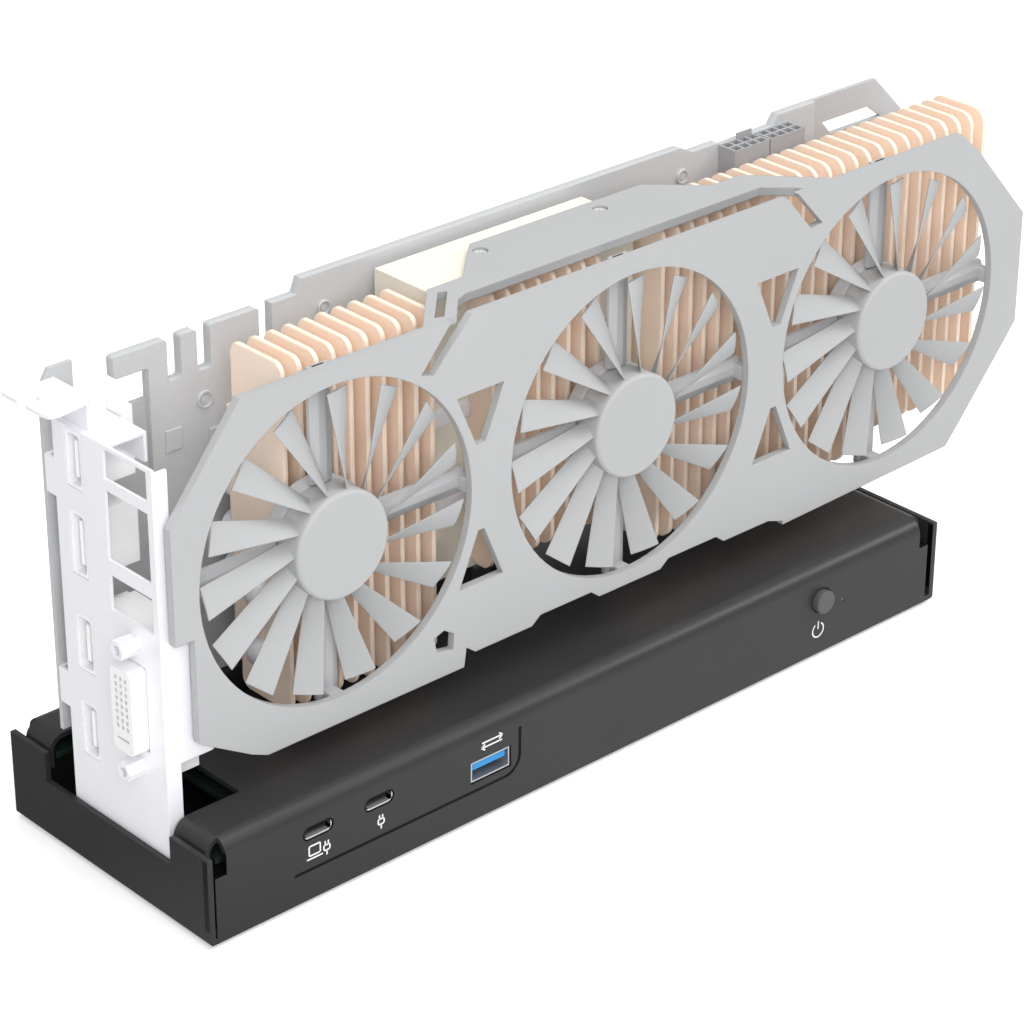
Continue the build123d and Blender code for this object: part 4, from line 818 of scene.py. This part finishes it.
class DOCK_OT_fans(bpy.types.Operator):
    """Makes the three rotors with straight paddle blades, and the motor frames behind them"""
    bl_idname = "dock.fans"
    bl_label = "Fans"

    def execute(self, context):
        s = settings()
        rotor = material_of("fan_1")
        struts = material_of("fan_frame_1")
        for k in (1, 2, 3):
            centre = (FAN_XS[k - 1] * MM, FAN_Z * MM)
            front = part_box("fan_%d" % k)[0].y
            piece = mesh_piece("fan_%d_rotor" % k, self.rotor(centre, front, s), rotor, "fan_%d" % k)
            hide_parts("fan_%d" % k)
            piece = mesh_piece("fan_%d_motor_frame" % k, self.motor_frame(centre, front), struts)
            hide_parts("fan_frame_%d" % k)
        return {"FINISHED"}

    def rotor(self, centre, front, s):
        """Round cap with a shaft, and its ring of blades."""
        r = HUB_RADIUS
        a = np.linspace(0, pi / 2, 7)
        rim = [(r - CAP_EDGE + CAP_EDGE * np.sin(v), -CAP_EDGE + CAP_EDGE * np.cos(v)) for v in a]
        shaft = [(SHAFT_RADIUS, -CAP_DEPTH), (SHAFT_RADIUS, -SHAFT_DEPTH), (0, -SHAFT_DEPTH)]
        cap = [(0, 0)] + rim + [(r, -CAP_DEPTH)] + shaft
        cap = [(x * MM, h * MM) for x, h in cap]
        sheets = [turned(cap, (centre[0], front, centre[1]), (0, -1, 0), 72)]
        corners = [
            (radius * MM, degrees, front + depth * MM)
            for radius, degrees, depth in (LEAD_TIP, TRAIL_TIP, LEAD_ROOT, TRAIL_ROOT)
        ]
        single = blade(*corners, s.blade_thick, s.blade_camber)
        sheets += [(spun(single, centre, 360 / BLADES * k), False, True) for k in range(BLADES)]
        return sheets

    def motor_frame(self, centre, front):
        """Round seat behind the cap, and four ridged arms that end in posts on the shroud's back."""
        ring = [(x * MM, h * MM) for x, h in SEAT_RING]
        sheets = [turned(ring, (centre[0], front, centre[1]), (0, -1, 0), 72)]
        shroud_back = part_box("fan_shroud")[0].y + SHROUD_THICK * MM
        section = np.array(ARM_SECTION) * MM
        reach = np.array(ARM_STATIONS) * MM
        path = np.stack([np.zeros_like(reach), np.full_like(reach, front), reach], axis=1)
        arm = carried(section, path, (1, 0, 0), (0, 1, 0))[0]
        post = soft_block(
            (-POST_HALF * MM, shroud_back, (ARM_END - POST_LENGTH) * MM),
            (POST_HALF * MM, front + ARM_DEPTH * MM, ARM_END * MM), 0.3 * MM, 1)[0]
        for k in range(4):
            sheets.append((spun(arm, centre, 90 * k), False, True))
            sheets.append((spun(post, centre, 90 * k), True, False))
        return sheets


class DOCK_OT_fins(bpy.types.Operator):
    """Makes the fins on the port side, which reach down behind the shroud, and the pipes through them"""
    bl_idname = "dock.fins"
    bl_label = "Fins"

    def execute(self, context):
        fin = material_of("fins_left")
        pipe = material_of("heat_pipe_1")
        low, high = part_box("fins_left")
        bottom = low.z - FIN_DROP * MM
        back = high.y - SPINE_THICK * MM
        edge = rounded_outline(
            (low.y + back) / 2, (bottom + high.z) / 2, back - low.y, high.z - bottom, FIN_CORNER * MM, 7)
        step = (high.x - low.x - FIN_THICK * MM) / (LEFT_FINS - 1)
        sheets = []
        for k in range(LEFT_FINS):
            x = low.x + k * step
            sheets.append(plate(edge, x, x + FIN_THICK * MM, 0.3 * MM))
        sheets.append(soft_block(
            (low.x, back, low.z + SPINE_RISE * MM), (high.x, high.y, high.z - SPINE_FALL * MM), 0.4 * MM))
        piece = mesh_piece("fins_left_plates", sheets, fin)
        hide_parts("fins_left")
        sheets = []
        axis_z = middle("fan_1").z
        for drop in PIPE_DROPS:
            dome = [(PIPE_R * np.cos(a), PIPE_R * np.sin(a)) for a in np.linspace(pi / 2, 0, 8)]
            profile = [(r * MM, h * MM) for r, h in dome + [(PIPE_R, -PIPE_LENGTH), (0, -PIPE_LENGTH)]]
            end = (low.x - 0.5 * MM, back - PIPE_DEPTH * MM, axis_z - drop * MM)
            sheets.append(turned(profile, end, (-1, 0, 0), 40))
        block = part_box("heat_block")
        for rise in BAND_RISES:
            z = axis_z + rise * MM
            sheets.append(soft_block(
                (block[0].x - 1.5 * MM, block[0].y - 1.2 * MM, z - BAND_HALF * MM),
                (block[0].x + BAND_LENGTH * MM, block[0].y + 2.0 * MM, z + BAND_HALF * MM), 1.1 * MM, 4))
        mesh_piece("cooler_pipes", sheets, pipe)
        return {"FINISHED"}


class DOCK_OT_contacts(bpy.types.Operator):
    """Makes the plated contacts in the ports and sockets"""
    bl_idname = "dock.contacts"
    bl_label = "Contacts"

    def execute(self, context):
        gold = drawn_metal("gold_plated_contact", "D9B45C", "E8C878", 0.28, 0.95, "Y", 0.4, 0.05)
        tin = drawn_metal("tin_plated_pin", "C2C3C5", "D4D5D7", 0.3, 0.9, "Z", 0.4, 0.05)
        start, end = OVAL_CONTACT_ENDS
        sheets = []
        for node in ("oval_port_1", "oval_port_2"):
            low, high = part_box(node)
            cx = (low.x + high.x) / 2
            cz = (low.z + high.z) / 2
            for k in range(OVAL_CONTACTS):
                x = cx + (k - (OVAL_CONTACTS - 1) / 2) * settings().contact_gap
                for side in (-1, 1):
                    z = cz + side * OVAL_ROW_RISE * MM
                    sheets.append(soft_block(
                        (x - OVAL_CONTACT_HALF * MM, low.y + start * MM, z - 0.04 * MM),
                        (x + OVAL_CONTACT_HALF * MM, low.y + end * MM, z + 0.04 * MM), 0.03 * MM, 1))
        mesh_piece("oval_port_contacts", sheets, gold)
        low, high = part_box("wide_port_tongue")
        sheets = []
        for k in range(WIDE_CONTACTS):
            x = low.x + (high.x - low.x) * (k + 0.5) / WIDE_CONTACTS
            sheets.append(soft_block(
                (x - WIDE_CONTACT_HALF * MM, low.y + 0.8 * MM, low.z - 0.12 * MM),
                (x + WIDE_CONTACT_HALF * MM, high.y - 1.5 * MM, low.z + 0.05 * MM), 0.05 * MM, 1))
        mesh_piece("wide_port_contacts", sheets, gold)
        foot, tip = PIN_ENDS
        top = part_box("power_socket_2")[1].z
        half = PIN_HALF * MM
        sheets = []
        for node in ("power_socket_1", "power_socket_2"):
            low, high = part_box(node)
            for i in range(4):
                for j in range(2):
                    x = (low.x + high.x) / 2 + (i - 1.5) * PIN_PITCH * MM
                    y = high.y - PIN_PITCH * MM + (j - 0.5) * PIN_PITCH * MM
                    sheets.append(soft_block(
                        (x - half, y - half, top - foot * MM),
                        (x + half, y + half, top - tip * MM), 0.15 * MM, 1))
        mesh_piece("power_socket_pins", sheets, tin)
        return {"FINISHED"}


class DOCK_OT_board_parts(bpy.types.Operator):
    """Makes the small parts soldered and screwed to the card's board"""
    bl_idname = "dock.board_parts"
    bl_label = "Board parts"

    def execute(self, context):
        body = moulded_plastic("moulded_epoxy_pale", "BDBFC1", "C5C7C9", 0.5, 0.4, 0.2)
        can = drawn_metal("stamped_aluminium_can", "BDBFC1", "C5C7C9", 0.5, 0.0, "Z", 0.5, 0.15)
        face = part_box("card_board")[0].y
        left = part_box("back_plate")[0].x - BOARD_INSET * MM
        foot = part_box("base_tray")[0].z
        chips = [
            soft_block(
                (left + x0 * MM, face - CHIP_HEIGHT * MM, foot + z0 * MM),
                (left + x1 * MM, face + 0.1 * MM, foot + z1 * MM), 0.25 * MM)
            for x0, z0, x1, z1 in CHIPS
        ]
        mesh_piece("board_chips", chips, body)
        rounds = []
        for x, z, r in EYELETS:
            pin = [(0, 0.45), (r * 0.45, 0.45), (r * 0.5, 0.2), (r * 0.72, 0.2)]
            rim = [(r * 0.78, 0.7), (r * 0.95, 0.7), (r, 0.6), (r, -0.1), (0, -0.1)]
            profile = [(a * MM, b * MM) for a, b in pin + rim]
            rounds.append(turned(profile, (left + x * MM, face, foot + z * MM), (0, -1, 0), 40))
        mesh_piece("board_eyelets", rounds, can)
        return {"FINISHED"}


class DOCK_OT_stage(bpy.types.Operator):
    """Sets the pale floor, the soft lights and the camera"""
    bl_idname = "dock.stage"
    bl_label = "Stage"

    def execute(self, context):
        s = settings()
        scene = context.scene
        scene.view_settings.view_transform = "Standard"
        self.floor()
        self.world(s.sky)
        self.softbox("key_softbox", (-0.8, -0.95, 0.8), (0.0, 0.0, 0.06), 0.8, s.key_power)
        self.softbox("side_softbox", (1.15, -0.7, 0.9), (0.05, 0.0, 0.03), 0.55, s.side_power)
        self.softbox("top_softbox", (0.15, -0.25, 1.6), (0.0, 0.0, 0.06), 1.2, s.top_power)
        self.camera(scene)
        return {"FINISHED"}

    def floor(self):
        """Round white floor that shows as white to the camera and keeps the object's soft shadow.

        To glossy rays it is a painted reflection instead: a glow that dims towards the back left.
        """
        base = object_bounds()[0][2]
        t = np.linspace(0, 2 * pi, 97)[:-1]
        radii = np.array(FLOOR_RADII)
        ring = np.stack([np.cos(t), np.sin(t), np.zeros_like(t)], axis=1)
        grid = radii[:, None, None] * ring[None]
        grid[..., 2] = base
        nu, nv = grid.shape[:2]
        i = np.arange(nu - 1)[:, None]
        j = np.arange(nv)[None, :]
        j1 = (j + 1) % nv
        quads = np.stack([i * nv + j, (i + 1) * nv + j, (i + 1) * nv + j1, i * nv + j1], axis=-1)
        mesh = bpy.data.meshes.new("studio_floor")
        mesh.from_pydata(grid.reshape(-1, 3).tolist(), [], quads.reshape(-1, 4).tolist())
        shell = bmesh.new()
        shell.from_mesh(mesh)
        bmesh.ops.remove_doubles(shell, verts=shell.verts, dist=0.00001)
        shell.to_mesh(mesh)
        shell.free()
        obj = bpy.data.objects.new("studio_floor", mesh)
        bpy.context.scene.collection.objects.link(obj)
        material, tree, output, place = new_material("painted_white_floor")
        grain = add(tree, "ShaderNodeTexNoise", {"Vector": place, "Scale": 1 / (3 * MM), "Detail": 2.0})
        paint = add(tree, "ShaderNodeBsdfPrincipled", {
            "Base Color": two_tones(tree, grain.outputs["Fac"], "F4F4F4", "F7F7F7"), "Roughness": 0.8})
        rays = add(tree, "ShaderNodeLightPath")
        glow = add(tree, "ShaderNodeEmission", {
            "Color": linear("FFFFFF"),
            "Strength": self.product(tree, rays.outputs["Is Camera Ray"], 0.3)})
        both = add(tree, "ShaderNodeAddShader", {0: paint.outputs[0], 1: glow.outputs[0]})
        # Painted reflection: to glossy rays the floor is a glow, strong towards the front right and dim
        # towards the back left, so the dark coat reflects less on its left end
        axes = add(tree, "ShaderNodeSeparateXYZ", {"Vector": place})
        forward = add(
            tree, "ShaderNodeMath", {0: axes.outputs["X"], 1: axes.outputs["Y"]}, operation="SUBTRACT")
        level = add(tree, "ShaderNodeMapRange", {
            "Value": forward.outputs[0], "From Min": -0.17, "From Max": 0.02, "To Min": 0.2, "To Max": 1.0})
        painted_reflection_glow = add(tree, "ShaderNodeEmission", {"Color": linear("FFFFFF"), "Strength": level.outputs[0]})
        seen = add(tree, "ShaderNodeMixShader", {
            0: rays.outputs["Is Glossy Ray"], 1: both.outputs[0], 2: painted_reflection_glow.outputs[0]})
        tree.links.new(seen.outputs[0], output.inputs["Surface"])
        mesh.materials.append(material)
        obj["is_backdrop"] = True

    def product(self, tree, value, factor):
        """A socket's value times a number."""
        return add(tree, "ShaderNodeMath", {0: value, 1: factor}, operation="MULTIPLY").outputs[0]

    def world(self, strength):
        """Even white surroundings, seen as plain white."""
        world = bpy.data.worlds.new("studio_world")
        bpy.context.scene.world = world
        world.use_nodes = True
        tree = world.node_tree
        tree.nodes.clear()
        rays = add(tree, "ShaderNodeLightPath")
        seen = add(
            tree, "ShaderNodeMath",
            {0: rays.outputs["Is Camera Ray"], 1: rays.outputs["Is Transmission Ray"]}, operation="MAXIMUM")
        level = add(tree, "ShaderNodeMapRange", {"Value": seen.outputs[0], "To Min": strength, "To Max": 1.0})
        light = add(tree, "ShaderNodeBackground", {"Color": linear("FFFFFF"), "Strength": level.outputs[0]})
        add(tree, "ShaderNodeOutputWorld", {"Surface": light.outputs[0]})

    def softbox(self, name, place, target, size, power):
        """Square area light that faces the target."""
        lamp = bpy.data.lights.new(name, "AREA")
        lamp.shape = "SQUARE"
        lamp.size = size
        lamp.energy = power
        obj = bpy.data.objects.new(name, lamp)
        obj.location = place
        obj.rotation_euler = (Vector(target) - Vector(place)).to_track_quat("-Z", "Y").to_euler()
        bpy.context.scene.collection.objects.link(obj)

    def camera(self, scene):
        """Camera from the left front, above the object, at the photograph's angle."""
        data = bpy.data.cameras.new("camera")
        data.sensor_width = 36.0
        data.lens = CAMERA_LENS
        data.clip_start = 0.05
        data.clip_end = 50.0
        obj = bpy.data.objects.new("camera", data)
        turn = Matrix.Rotation(radians(CAMERA_TURN), 4, "Z")
        turn = turn @ Matrix.Rotation(radians(90 - CAMERA_DIP), 4, "X")
        turn = turn @ Matrix.Rotation(radians(CAMERA_ROLL), 4, "Z")
        obj.matrix_world = Matrix.Translation(CAMERA_PLACE) @ turn
        scene.collection.objects.link(obj)
        scene.camera = obj


class DOCK_PT_panel(bpy.types.Panel):
    """Lists the steps of the dressing and its values"""
    bl_idname = "DOCK_PT_panel"
    bl_label = "Card Dock"
    bl_space_type = "VIEW_3D"
    bl_region_type = "UI"
    bl_category = "Card Dock"

    def draw(self, context):
        for operator in STEPS:
            self.layout.operator(operator.bl_idname)
        for key in DockDressing.__annotations__:
            self.layout.prop(context.scene.dock_dressing, key)


STEPS = (
    DOCK_OT_finishes, DOCK_OT_signs, DOCK_OT_screws, DOCK_OT_fans, DOCK_OT_fins, DOCK_OT_contacts,
    DOCK_OT_board_parts, DOCK_OT_stage,
)
CLASSES = (DockDressing,) + STEPS + (DOCK_PT_panel,)


def register():
    for item in CLASSES:
        bpy.utils.register_class(item)
    bpy.types.Scene.dock_dressing = bpy.props.PointerProperty(type=DockDressing)


def unregister():
    del bpy.types.Scene.dock_dressing
    for item in reversed(CLASSES):
        bpy.utils.unregister_class(item)


def main():
    """Runs every step in order."""
    register()
    for step in STEPS:
        group, name = step.bl_idname.split(".")
        getattr(getattr(bpy.ops, group), name)()


if __name__ == "__main__":
    main()
